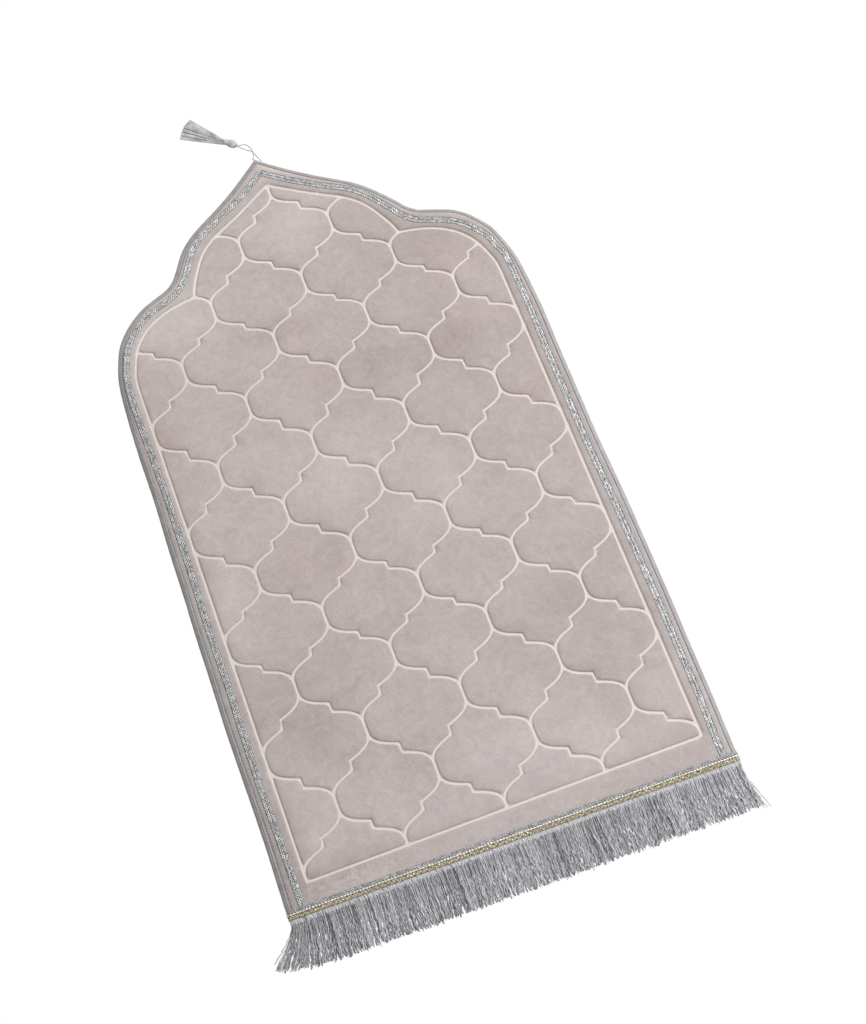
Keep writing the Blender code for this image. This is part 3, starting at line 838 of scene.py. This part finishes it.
def distance_from_lines(points):
    """A function of a place that gives its distance from close-set points of lines, and how far it lies to
    the light's side of them. The distance is a little less where lines meet, which fills their corners."""
    tree = plan_tree(points)

    def distance(place):
        flat = Vector((place.x, place.y, 0))
        nearest, _, near = tree.find(flat)
        sunward = max((flat - nearest).normalized().dot(LIGHT_PLAN), 0.0)
        if near > 6 * FILLET:
            return near, sunward
        around = tree.find_range(flat, near + 4 * FILLET)
        total = LINE_SAMPLE * sum(math.exp((near - away) / FILLET) for _, _, away in around)
        straight = math.sqrt(math.tau * FILLET * near + 4 * FILLET**2)
        return max(near - FILLET * math.log(max(total / straight, 1.0)), 0.0), sunward

    return distance


def smoothstep(low, high, value):
    share = min(max((value - low) / (high - low), 0.0), 1.0)
    return share * share * (3 - 2 * share)


def read_between(rows, value):
    """The other columns of a table at a value of its first column, which rises or falls all the way."""
    rising = rows[-1][0] > rows[0][0]
    for start, end in zip(rows, rows[1:]):
        if (value <= end[0]) == rising:
            break
    share = min(max((value - start[0]) / (end[0] - start[0]), 0.0), 1.0)
    return [a + share * (b - a) for a, b in zip(start[1:], end[1:])]


def open_edges(shape):
    return [edge for edge in shape.edges if edge.is_boundary]


# ---- Panel ----


def add_faces(shape, cut, wanted):
    """Adds the faces of a flat cut, of those loops that are wanted."""
    verts = [shape.verts.new((point.x, point.y, 0)) for point in cut[0]]
    for corners, made_from in zip(cut[2], cut[5]):
        if wanted(made_from):
            shape.faces.new([verts[corner] for corner in corners])
    bmesh.ops.delete(shape, geom=[vert for vert in verts if not vert.link_faces], context="VERTS")


def flat_cells():
    """The frame's face, cut into trellis cells: a flat bmesh of many-sided faces."""
    points, (outline, *lines) = numbered([frame_line(), *trellis_lines()])
    edges = [pair for line in lines for pair in zip(line, line[1:])]
    cut = delaunay_2d_cdt(points, edges, [outline[::-1]], 3, CUT_WITHIN)
    shape = bmesh.new()
    add_faces(shape, cut, bool)
    bmesh.ops.remove_doubles(shape, verts=shape.verts, dist=MERGE_WITHIN)
    bmesh.ops.recalc_face_normals(shape, faces=shape.faces)
    if shape.faces[:][0].normal.z < 0:
        bmesh.ops.reverse_faces(shape, faces=shape.faces)
    return shape


def hub_of(cell):
    """A place in a flat cell from which straight lines reach all of its edge."""
    hub = cell.calc_center_median_weighted()
    for _ in range(HUB_TRIES):
        for loop in cell.loops:
            start = loop.vert.co
            run = (loop.link_loop_next.vert.co - start).normalized()
            short = HUB_CLEAR - run.cross(hub - start).z
            if short > 0:
                hub += short * Vector((-run.y, run.x, 0))
    return hub


def ring_cells(shape):
    """Draws rings from the edge of each cell to its hub."""
    for cell in shape.faces[:]:
        hub = hub_of(cell)
        edge = [vert.co.copy() for vert in cell.verts]
        for share in RING_SHARES:
            cell = bmesh.ops.extrude_discrete_faces(shape, faces=[cell])["faces"][0]
            for vert, start in zip(cell.verts, edge):
                vert.co = hub.lerp(start, share)
        bmesh.ops.poke(shape, faces=[cell])["verts"][0].co = hub


def rim(shape):
    """The points of a flat sheet's outer edge, in order."""
    first = next(vert for vert in shape.verts if vert.is_boundary)
    loop, edge = [first], None
    while True:
        edge = next(e for e in loop[-1].link_edges if e.is_boundary and e is not edge)
        vert = edge.other_vert(loop[-1])
        if vert is first:
            return loop
        loop.append(vert)


def panel_edge(distance):
    """The closed loop at a distance inside the bound edge, clockwise from the tip."""
    foot = distance - PANEL_INSET
    left, right = (even(bound_side(side, distance, foot), PANEL_STEP) for side in (-1, 1))
    return right + even([right[-1], left[-1]], PANEL_STEP)[1:] + left[-2:0:-1]


def add_border(shape):
    """The border from the frame line out to the panel's edge, with loops of points along both."""
    plan = [vert.co.to_2d() for vert in rim(shape)]
    if sum(a.x * b.y - b.x * a.y for a, b in zip(plan, plan[1:] + plan[:1])) > 0:
        plan.reverse()
    loops = [plan] + [closed_inset(plan, ring) for ring in FRAME_RINGS]
    loops += [panel_edge(ring) for ring in EDGE_RINGS]
    points, rings = numbered(loops)
    off_lines = nearest_to(points)
    for column in range(*GRID_COLUMNS):
        for row in range(*GRID_ROWS):
            spot = Vector((column * BORDER_GRID, row * BORDER_GRID))
            if off_lines(spot) > GRID_CLEAR * BORDER_GRID:
                points.append(spot)
    cut = delaunay_2d_cdt(points, [], [rings[0][::-1], rings[-1][::-1]], 1, 1e-4)
    add_faces(shape, cut, lambda made_from: 1 in made_from and 0 not in made_from)
    bmesh.ops.remove_doubles(shape, verts=shape.verts, dist=0.01)


def patchy(place, patches):
    """The sum of soft-edged patches at a place."""
    total = 0.0
    for x, y, half_width, half_height, strength in patches:
        across, along = (place.x - x) / half_width, (place.y - y) / half_height
        total += strength * math.exp(-(across**2) - along**2)
    return total


def raise_pile(shape, inside, pressed):
    """Gives every point of the flat panel its height: channels, puffed cells, border and rounded edge. What
    the velvet's colours need to know, painted shade among them, is kept with each point."""
    layers = shape.verts.layers.float
    for name in ("line_distance", "painted_lee_shade", *PATCHES):
        layers.new(name)
    line_layer, painted_shade_layer = layers["line_distance"], layers["painted_lee_shade"]
    shades = [(layers[name], patches) for name, patches in PATCHES.items()]
    off_line = distance_from_lines(pressed)
    edge = panel_edge(PANEL_INSET)
    off_edge = nearest_to(even([*edge, edge[0]], LINE_SAMPLE))
    for vert in shape.verts:
        distance, sunward = off_line(vert.co)
        vert[line_layer] = min(distance, LINE_FAR)
        # painted shade: most on walls that face away from the light, fading with distance from the lines
        vert[painted_shade_layer] = sunward * math.exp(-distance / (LEE_REACH if vert in inside else BORDER_LEE_REACH))
        for layer, patches in shades:
            vert[layer] = patchy(vert.co, patches)
        wall = smoothstep(*CHANNEL_WALL, distance)
        swell = noise.noise(vert.co / SWELL_SIZE)
        if vert in inside:
            crown = CROWN_RISE * (1 - math.exp(-max(distance - CHANNEL_WALL[0], 0.0) / CROWN_REACH))
            vert.co.z = CHANNEL_Z + wall * (CUSHION_Z - CHANNEL_Z) + crown * (1 + CROWN_SWELL * swell)
        else:
            share = min(off_edge(vert.co) / EDGE_ROUND, 1.0)
            top = EDGE_Z + (MARGIN_Z - EDGE_Z) * math.sqrt(1 - (1 - share) ** 2)
            vert.co.z = min(CHANNEL_Z + wall * (top - CHANNEL_Z), top) + BORDER_SWELL * swell * share


def build_panel(velvet, backing):
    """The flat cells and border, raised to their heights, with a plain wall and base below."""
    shape = flat_cells()
    pressed = []
    for edge in shape.edges:
        pressed += even([vert.co.to_2d() for vert in edge.verts], LINE_SAMPLE)
    ring_cells(shape)
    inside = set(shape.verts)
    add_border(shape)
    raise_pile(shape, {vert for vert in inside if vert.is_valid}, pressed)
    wall = bmesh.ops.extrude_edge_only(shape, edges=open_edges(shape))["geom"]
    for vert in (item for item in wall if isinstance(item, bmesh.types.BMVert)):
        vert.co.z = 0
    base = bmesh.ops.holes_fill(shape, edges=open_edges(shape))["faces"]
    for face in base:
        face.material_index = 1
    bmesh.ops.triangulate(shape, faces=base, ngon_method="BEAUTY")
    bmesh.ops.recalc_face_normals(shape, faces=shape.faces)
    panel = add_piece("velvet_panel", shape, (velvet, backing), "velvet", "mat")


# ---- Strips and threads ----


def strip(lines):
    """A sheet through long lines that lie side by side. Its UV map is in millimetres."""
    shape = bmesh.new()
    shape.loops.layers.uv.new("UVMap")
    last, ends = len(lines) - 1, len(lines[0]) - 1
    bmesh.ops.create_grid(shape, x_segments=ends, y_segments=last, size=0.5, calc_uvs=True)
    shape.verts.ensure_lookup_table()
    length = length_of(lines[0])
    girth = sum((b[ends // 2] - a[ends // 2]).length for a, b in zip(lines, lines[1:]))
    for vert in shape.verts:
        vert.co = lines[round((vert.co.y + 0.5) * last)][round((vert.co.x + 0.5) * ends)]
    layer = shape.loops.layers.uv[0]
    for face in shape.faces:
        for loop in face.loops:
            loop[layer].uv = (loop[layer].uv.x * length, loop[layer].uv.y * girth)
    shape.normal_update()
    return shape


def closed_strip(lines):
    """A strip whose last line meets its first, with its ends closed."""
    shape = strip(lines)
    bmesh.ops.remove_doubles(shape, verts=shape.verts, dist=0.001)
    bmesh.ops.holes_fill(shape, edges=open_edges(shape))
    bmesh.ops.recalc_face_normals(shape, faces=shape.faces)
    return shape


def build_binding(twill):
    """A strip of twill folded round the edge, from under the panel up and over to the seam."""
    outer = [bound_side(side, 0.0) for side in (-1, 1)]
    counts = [round(length_of(line) / BINDING_STEP) for line in outer]
    lines = []
    for distance, height in BINDING_SECTION:
        left, right = (spread(bound_side(side, distance), count) for side, count in zip((-1, 1), counts))
        lines.append([Vector((point.x, point.y, height)) for point in left[::-1] + right[1:]])
    shape = strip(lines)
    if sum(face.normal.z for face in shape.faces if face.calc_center_median().z > 9) < 0:
        bmesh.ops.reverse_faces(shape, faces=shape.faces)
        shape.normal_update()
    for vert in shape.verts:
        if vert.co.z > PUCKER_FROM:
            broad, fine = (noise.noise(vert.co / size) for size in PUCKER_SIZES)
            vert.co += vert.normal * min(PUCKER * (broad + 0.5 * fine), PUCKER_LIMIT)
    binding = add_piece("edge_binding_strip", shape, (twill,), "twill", "edge_binding")
    thicken = binding.modifiers.new("cloth", "SOLIDIFY")
    thicken.thickness = BINDING_CLOTH * MM
    thicken.offset = -1


def thread_mesh(name, runs, resolution):
    """A mesh of round threads. Each run is its points, the radius at each, and the number of its material."""
    curve = bpy.data.curves.new(name, "CURVE")
    curve.dimensions = "3D"
    curve.bevel_depth = 1.0
    curve.bevel_resolution = resolution
    curve.use_fill_caps = True
    for _ in range(1 + max(tint for _, _, tint in runs)):
        curve.materials.append(None)
    for points, radii, tint in runs:
        spline = curve.splines.new("POLY")
        spline.points.add(len(points) - 1)
        for place, point, size in zip(spline.points, points, radii):
            place.co = (*point, 1.0)
            place.radius = size
        spline.material_index = tint
        spline.use_smooth = True
    carrier = bpy.data.objects.new(name, curve)
    mesh = bpy.data.meshes.new_from_object(carrier)
    bpy.data.objects.remove(carrier)
    bpy.data.curves.remove(curve)
    return mesh


def taken(mesh, shape=None):
    """The mesh's faces in a bmesh, and the mesh removed."""
    shape = shape or bmesh.new()
    shape.from_mesh(mesh)
    bpy.data.meshes.remove(mesh)
    return shape


def plait(line, middle, floor, tints, turn, swing, lift, radius, loose, bead=0.0):
    """Strands, one for each tint, that swing from side to side along a flat line, over and under each other.
    They wander a little where they are loose, and swell and shrink where they are beaded."""
    sides = sides_of(line)
    step = (line[1] - line[0]).length
    runs = []
    for strand, tint in enumerate(tints):
        points, radii = [], []
        for index, (point, side) in enumerate(zip(line, sides)):
            angle = math.tau * (index * step / turn + strand / len(tints))
            spot = (point.x / WANDER_SIZE, point.y / WANDER_SIZE, middle + 7 * strand)
            wander = loose * noise.noise(Vector(spot))
            place = point + side * (middle + swing * math.sin(angle) + wander)
            bob = math.cos(angle) if len(tints) == 2 else math.sin(2 * angle)
            points.append(Vector((place.x, place.y, floor(point) + radius + lift * (1 + bob))))
            swell = math.cos(math.tau * index * step / bead) if bead else 0.0
            radii.append(radius * (1 + THREAD_SWELL * (swell + wander)))
        runs.append((points, radii, tint))
    return runs


def tape_under(line, floor, half, middle):
    """A closed flat tape along a line."""
    corners = ((-half, 0.0), (-half, TAPE_THICK), (half, TAPE_THICK), (half, 0.0), (-half, 0.0))
    lines = []
    for across, height in corners:
        edge = zip(line, inset(line, middle + across))
        lines.append([Vector((point.x, point.y, floor(base) + height)) for base, point in edge])
    tape = closed_strip(lines)
    for face in tape.faces:
        face.material_index = 1
    return tape


def add_braid(name, runs, tapes, materials, slot, node):
    """The threads, with the tapes under them, as one piece."""
    shape = taken(thread_mesh(name, runs, 1))
    for tape in tapes:
        taken(as_mesh(name, tape), shape)
    add_piece(name, shape, materials, slot, node)


def braid_line(side, shift):
    """The middle of the braid on one side of the rug, which wanders a little from the edge."""

    def distance(point):
        return shift + read_between(BRAID_INSET, point.y)[side > 0]

    return bound_side(side, distance, BRAID_FOOT)


def build_border_braid(silver, ground):
    """Two rows of crossing silver threads on a dark tape, one length up each side to the tip. The tape's dark
    tone is painted shade in the gaps between the threads.
    """

    def flat(_):
        return BRAID_FLOOR

    def sunk(_):
        return BRAID_FLOOR - BRAID_SINK

    runs, tapes = [], []
    for side, shift, apart, swing, half, off in BRAID_WIDTHS:
        middle = braid_line(side, shift)
        line = even(middle, BORDER_ROW["turn"] / TURN_STEPS)
        for row in (-apart, apart):
            runs += plait(line, row, sunk, (0, 0), swing=swing, **BORDER_ROW)
        tapes.append(tape_under(even(middle, TAPE_STEP), flat, half, off))
    add_braid("border_braid", runs, tapes, (silver, ground), "silver_braid", "silver_braid")


def hem_ends():
    """The two lower corners of the bound edge, left and right."""
    return [bound_side(side, 0.0)[-1] for side in (-1, 1)]


def hem_line(ends, step):
    """The hem's edge from right to left, so that the rug is to the right of it."""
    first, last = ends[0].x + HEM_END_DROP[0][0], ends[1].x - HEM_END_DROP[0][0]
    return even([Vector((last, hem_y(last))), Vector((first, hem_y(first)))], step)


def hem_floor(ends):
    """The height of what the hem braids lie on, which bends down over the binding at both ends."""

    def height(point):
        off_end = min(point.x - ends[0].x, ends[1].x - point.x)
        return BRAID_FLOOR - read_between(HEM_END_DROP, off_end)[0]

    return height


def build_hem_braids(thread):
    """A silver chain in two rows beside a beaded cord, and a gold plait along the hem's edge."""
    ends = hem_ends()
    floor = hem_floor(ends)
    under = hem_line(ends, TAPE_STEP)
    line = hem_line(ends, HEM_CHAIN["turn"] / TURN_STEPS)
    runs = plait(line, BEADS_MIDDLE, floor, (3,), **HEM_BEADS)
    for row in CHAIN_ROWS:
        runs += plait(line, row, floor, (0, 2), **HEM_CHAIN)
    tapes = [tape_under(under, floor, *CHAIN_TAPE)]
    names = ("silver_thread", "dark_ground_tape", "darker_silver_thread", "bright_silver_thread")
    materials = [thread[name] for name in names]
    add_braid("hem_silver_chain", runs, tapes, materials, "silver_braid", "hem_silver_braid")
    line = hem_line(ends, HEM_GOLD["turn"] / GOLD_TURN_STEPS)
    runs = plait(line, GOLD_MIDDLE, floor, (0, 2, 0), **HEM_GOLD)
    tapes = [tape_under(under, floor, *GOLD_TAPE)]
    materials = [thread[name] for name in ("gold_thread", "brown_ground_tape", "olive_thread")]
    add_braid("hem_gold_plait", runs, tapes, materials, "gold_braid", "hem_gold_braid")


# ---- Fringe ----


def splay(x, left, right):
    """How far a thread that starts at x leans outwards at its tip, most at the two ends of the hem."""
    return SPLAY_RIGHT * math.exp((x - right) / SPLAY_REACH) - SPLAY_LEFT * math.exp((left - x) / SPLAY_REACH)


def build_header(tape, tints):
    """The knitted tape that holds the threads, over the hem's front edge, and its loose stitches."""
    left, right = (end.x + inward for end, inward in zip(hem_ends(), (HEADER_SHORT, -HEADER_SHORT)))
    across = even([Vector((right, 0)), Vector((left, 0))], HEADER_STEP)
    size, length = HEADER_RIPPLE
    lines = []
    for down, height in HEADER_SECTION:
        ripple = [size * noise.noise(Vector((point.x / length, down, 0))) for point in across]
        lines.append([Vector((p.x, hem_y(p.x) - down + wave, height)) for p, wave in zip(across, ripple)])
    shape = closed_strip(lines)
    add_piece("fringe_header_tape", shape, (tape,), "fringe_thread", "fringe")
    draw = random.Random(SEED + 2)
    radii = [0.5 * math.sin(math.pi * (knot + 0.7) / 5.4) for knot in range(len(HEADER_STITCH))]
    runs = []
    for number in range(HEADER_STITCHES):
        x = left + (right - left) * (number + draw.random()) / HEADER_STITCHES
        lean = draw.gauss(*STITCH_LEAN)
        length = draw.uniform(*STITCH_LENGTH)
        points = []
        for down, height in HEADER_STITCH:
            place = min(max(x + lean * down, left), right)
            points.append(Vector((place, hem_y(x) - down * length, height + 0.4 * draw.random())))
        runs.append((points, radii, draw.choices(range(len(tints)), STITCH_TONES)[0]))
    stitches = taken(thread_mesh("stitches", runs, 0))
    add_piece("fringe_header_stitches", stitches, tints, "fringe_thread", "fringe")


def lying_thread(draw, x, lean, length, lie, waves):
    """A thread that comes out from under the header tape, falls to the floor and lies there in waves."""
    reach = math.sqrt(max(length**2 - lean**2, (0.6 * length) ** 2))
    points = [Vector((x, hem_y(x) - down, height + lie)) for down, height in THREAD_ROOTS]
    root, hang = hem_y(x) - THREAD_ROOTS[-1][0], THREAD_ROOTS[-1][1]
    for step in range(1, THREAD_STEPS):
        share = step / (THREAD_STEPS - 1)
        side = lean * share**SPLAY_POWER
        for size, turn, phase in waves:
            side += size * min(2 * share, 1.0) * (math.sin(phase + turn * share) - math.sin(phase))
        fall = max(1 - HANG_RATE * share, 0.0) ** HANG_CURVE
        height = lie + fall * hang + LIE_SPREAD * draw.random() * share
        points.append(Vector((x + side, root - reach * share, height)))
    return points


def build_fringe(tints):
    """Threads that hang together in locks. Locks cross each other and end unevenly."""
    left, right = (end.x + inward for end, inward in zip(hem_ends(), (FRINGE_SHORT, -FRINGE_SHORT)))
    for name, locks, threads, radius, lowest, highest, stray, weights in LAYERS:
        draw = random.Random(f"{SEED} {name}")
        runs = []
        pitch = (right - left) / locks
        for lock in range(locks):
            middle = left + pitch * (lock + 0.5)
            tone = draw.choices(range(len(tints)), weights)[0]
            sway, trim = draw.gauss(0, stray), draw.gauss(0, LOCK_TRIM)
            turn = math.tau * THREAD_LENGTH / draw.uniform(*WAVE_LENGTH)
            wave = (draw.uniform(*THREAD_WAVE), turn, draw.uniform(0, math.tau))
            gather = draw.uniform(*GATHER)
            for _ in range(threads):
                off = draw.uniform(-0.5, 0.5) * pitch
                x = min(max(middle + off, left), right)
                length = THREAD_LENGTH + trim - THREAD_TRIM * draw.random() ** 2
                near = abs(x + sway - SHORT_SPOT[0]) / SHORT_SPOT[1]
                length *= 1 - SHORT_SPOT[2] * draw.random() * max(1 - near, 0.0)
                own = (draw.uniform(*OWN_WAVE), OWN_TURN * turn, draw.uniform(0, math.tau))
                lean = splay(x, left, right) + sway - off * (1 - gather)
                tint = tone if draw.random() < SAME_TONE else draw.choices(range(len(tints)), weights)[0]
                lie = radius + draw.uniform(lowest, highest)
                points = lying_thread(draw, x, lean, length, lie, (wave, own))
                runs.append((points, [radius] * len(points), tint))
        if name == LAYERS[-1][0]:
            for start, lean, length in STRAYS:
                wave = (0.8, 5.0, draw.uniform(0, math.tau))
                points = lying_thread(draw, right - start, lean, length, radius, (wave,))
                runs.append((points, [radius] * len(points), 1))
        add_piece(name, taken(thread_mesh(name, runs, 0)), tints, "fringe_thread", "fringe")


# ---- Tassel ----


def tassel_point(along, across, z):
    """A place on the tassel: along its axis from the cord's end, and across to the right of it."""
    turn = math.radians(TASSEL_HEADING)
    axis = Vector((math.cos(turn), math.sin(turn)))
    side = Vector((axis.y, -axis.x))
    plan = Vector(TASSEL_END) + along * axis + across * side
    return Vector((plan.x, plan.y, z))


def round_head(along, turn, grow, out):
    """A place on the head at a turn round its axis, where it is grown by a share and a distance."""
    half_width, half_height, middle = read_between(TASSEL_HEAD, along)
    across = (grow * half_width + out) * math.cos(turn)
    return tassel_point(along, across, middle + (grow * half_height + out) * math.sin(turn))


def build_tassel_head(silk):
    """Threads folded over a ball and tied below it, with the tie wound round the neck."""
    stations = [0.0, 0.25, 0.6] + [HEAD_STEP * number for number in range(2, 32)]
    around = 4 * HEAD_FLUTES
    lines = []
    for number in range(around + 1):
        turn = math.tau * number / around
        flute = 1 + FLUTE_DEPTH * math.cos(HEAD_FLUTES * turn)
        lines.append([round_head(along, turn, flute, 0.0) for along in stations])
    shape = closed_strip(lines)
    winding = []
    start, end, turns = HEAD_TIE
    for number in range(turns * TIE_STEPS + 1):
        turn = math.tau * number / TIE_STEPS
        along = start + (end - start) * number / (turns * TIE_STEPS)
        winding.append(round_head(along, turn, 1.0, TIE_OUT))
    shape = taken(thread_mesh("winding", [(winding, [TIE_THREAD] * len(winding), 0)], 1), shape)
    return add_piece("tassel_head", shape, (silk,), "tassel_thread", "tassel")


def build_tassel_skirt(tints):
    """Straight threads in a few flat groups, over a layer of grey and dark threads that is painted shadow
    between the groups.
    """
    draw = random.Random(SEED + 1)
    runs = []
    for low, high, threads, level, weights in SKIRT_GROUPS:
        middle = (low + high) / 2
        for number in range(threads):
            place = low + (high - low) * (number + draw.random()) / threads
            length = SKIRT_LENGTH * (1 - 0.2 * place**2) + draw.uniform(*SKIRT_TRIM)
            phase, curl = draw.uniform(0, math.tau), draw.uniform(0.0, SKIRT_CURL)
            lift = 0.5 + 0.5 * noise.noise(Vector((40 * place, level, 0)))
            points = []
            for step in range(SKIRT_STEPS + 1):
                share = step / SKIRT_STEPS
                width = SKIRT_ROOT[0] + (SKIRT_SPREAD - SKIRT_ROOT[0]) * share**0.9
                gathered = middle + (place - middle) * (1 - SKIRT_BOW * math.sin(math.pi * share))
                across = gathered * width + curl * math.sin(phase + 5 * share)
                root_z = 1.2 + SKIRT_ROOT[1] * lift * math.sqrt(max(1 - (2 * place) ** 2, 0.0))
                lie_z = SKIRT_THREAD + level + 0.5 * lift
                fall = smoothstep(0.0, SKIRT_FALL, share)
                height = root_z + (lie_z - root_z) * fall
                points.append(tassel_point(SKIRT_FROM + length * share, across, height))
            tint = draw.choices(range(len(tints)), weights)[0]
            runs.append((points, [SKIRT_THREAD] * len(points), tint))
    add_piece("tassel_skirt", taken(thread_mesh("skirt", runs, 0)), tints, "tassel_thread", "tassel")


# ---- Cord ----


def smoothed(route, step):
    """Points about a step apart on the smooth curve through the route's points."""
    knots = [Vector(point) for point in route]
    knots = [2 * knots[0] - knots[1], *knots, 2 * knots[-1] - knots[-2]]
    points = [knots[1]]
    for before, start, end, after in zip(knots, knots[1:], knots[2:], knots[3:]):
        pieces = max(1, round((end - start).length / step))
        leave, arrive = start + (end - before) / 6, end - (after - start) / 6
        points += interpolate_bezier(start, leave, arrive, end, pieces + 1)[1:]
    return points


def build_cord_leg(name, route, node, silk):
    """Two plies twisted round each other, as one fluted tube along the route."""
    path = smoothed(route, CORD_STEP)
    lines = [[] for _ in range(CORD_SIDES + 1)]
    side, travelled = Vector((0, 0, 1)), 0.0
    for index, point in enumerate(path):
        run = (path[min(index + 1, len(path) - 1)] - path[max(index - 1, 0)]).normalized()
        side = (side - side.dot(run) * run).normalized()
        other = run.cross(side)
        travelled += (point - path[max(index - 1, 0)]).length
        for number, line in enumerate(lines):
            turn = math.tau * number / CORD_SIDES
            wind = turn - math.tau * travelled / CORD_TWIST
            radius = CORD_RADIUS * (1 - PLY_DEPTH + PLY_DEPTH * math.cos(2 * wind))
            line.append(point + radius * (math.cos(turn) * side + math.sin(turn) * other))
    shape = closed_strip(lines)
    leg = add_piece(name, shape, (silk,), "tassel_thread", node)


# ---- Stage ----


def build_stage():
    """The camera, the floor, a soft sun at the side and an even room."""
    scene = bpy.context.scene
    camera = placed("camera", bpy.data.cameras.new("camera"))
    camera.data.lens = LENS
    camera.location = CAMERA_AT
    camera.rotation_euler = [math.radians(turn) for turn in CAMERA_TURN]
    scene.camera = camera

    shape = bmesh.new()
    bmesh.ops.create_grid(shape, x_segments=1, y_segments=1, size=FLOOR_HALF)
    floor = placed("floor", as_mesh("floor", shape))
    floor.data.materials.append(floor_material())

    light = bpy.data.lights.new("window", "SUN")
    light.angle = math.radians(KEY_ANGLE)
    light.energy = KEY_POWER
    lamp = placed("window", light)
    lamp.location = KEY_AT
    lamp.rotation_euler = (-Vector(KEY_AT)).to_track_quat("-Z", "Y").to_euler()

    world = bpy.data.worlds.new("soft_room")
    world.use_nodes = True
    glow = world.node_tree.nodes["Background"]
    glow.inputs["Color"].default_value = WHITE
    glow.inputs["Strength"].default_value = ROOM_LIGHT
    scene.world = world
    scene.view_settings.view_transform = "Standard"


def floor_material():
    """White paper that the camera sees without shadows, as under a cut-out."""
    material, tree, shader = new_material("white_floor", Roughness=1.0, Specular_IOR_Level=0.0)
    seen = put(tree, "LightPath").outputs["Is Camera Ray"]
    paper = blend(tree, seen, (0.6, 0.6, 0.6, 1.0), (0.0, 0.0, 0.0, 1.0))
    tree.links.new(paper, shader.inputs["Base Color"])
    shader.inputs["Emission Color"].default_value = WHITE
    tree.links.new(seen, shader.inputs["Emission Strength"])
    return material


def main():
    build_stage()
    mottle, ribs, sides = make_mottle(), make_ribs(), make_light_side()
    thread = {name: thread_material(name, mottle, sides, *look) for name, look in THREADS.items()}
    tints = [thread[f"{tone}_thread"] for tone in ("pale", "grey", "dark", "bronze")]
    twill = ribbed_material(
        "grey_twill", (140, 137, 135), (180, 177, 176), mottle, ribs, 2.2, 1.0, sides, (0.92, 1.06),
        Roughness=0.5, Sheen_Weight=0.2, Sheen_Roughness=0.4,
    )
    knit = ribbed_material(
        "knitted_tape", (208, 208, 214), (250, 250, 254), mottle, ribs, 2.9, 0.4, sides, (0.94, 1.1),
        Roughness=0.5,
    )
    head = build_tassel_head(thread["tassel_silk"])
    build_cord_leg("tassel_loop_left", LEFT_LEG, "tassel_cord_left", thread["grey_thread"])
    build_cord_leg("tassel_loop_right", RIGHT_LEG, "tassel_cord_right", thread["grey_thread"])
    build_tassel_skirt([thread["pale_tassel_silk"], *tints[1:]])
    build_panel(velvet_material(mottle, sides), backing_material(mottle))
    build_binding(twill)
    build_border_braid(thread["silver_thread"], thread["dark_ground_tape"])
    build_hem_braids(thread)
    build_header(knit, [thread["bright_header_thread"], *tints[1:]])
    build_fringe(tints)


main()
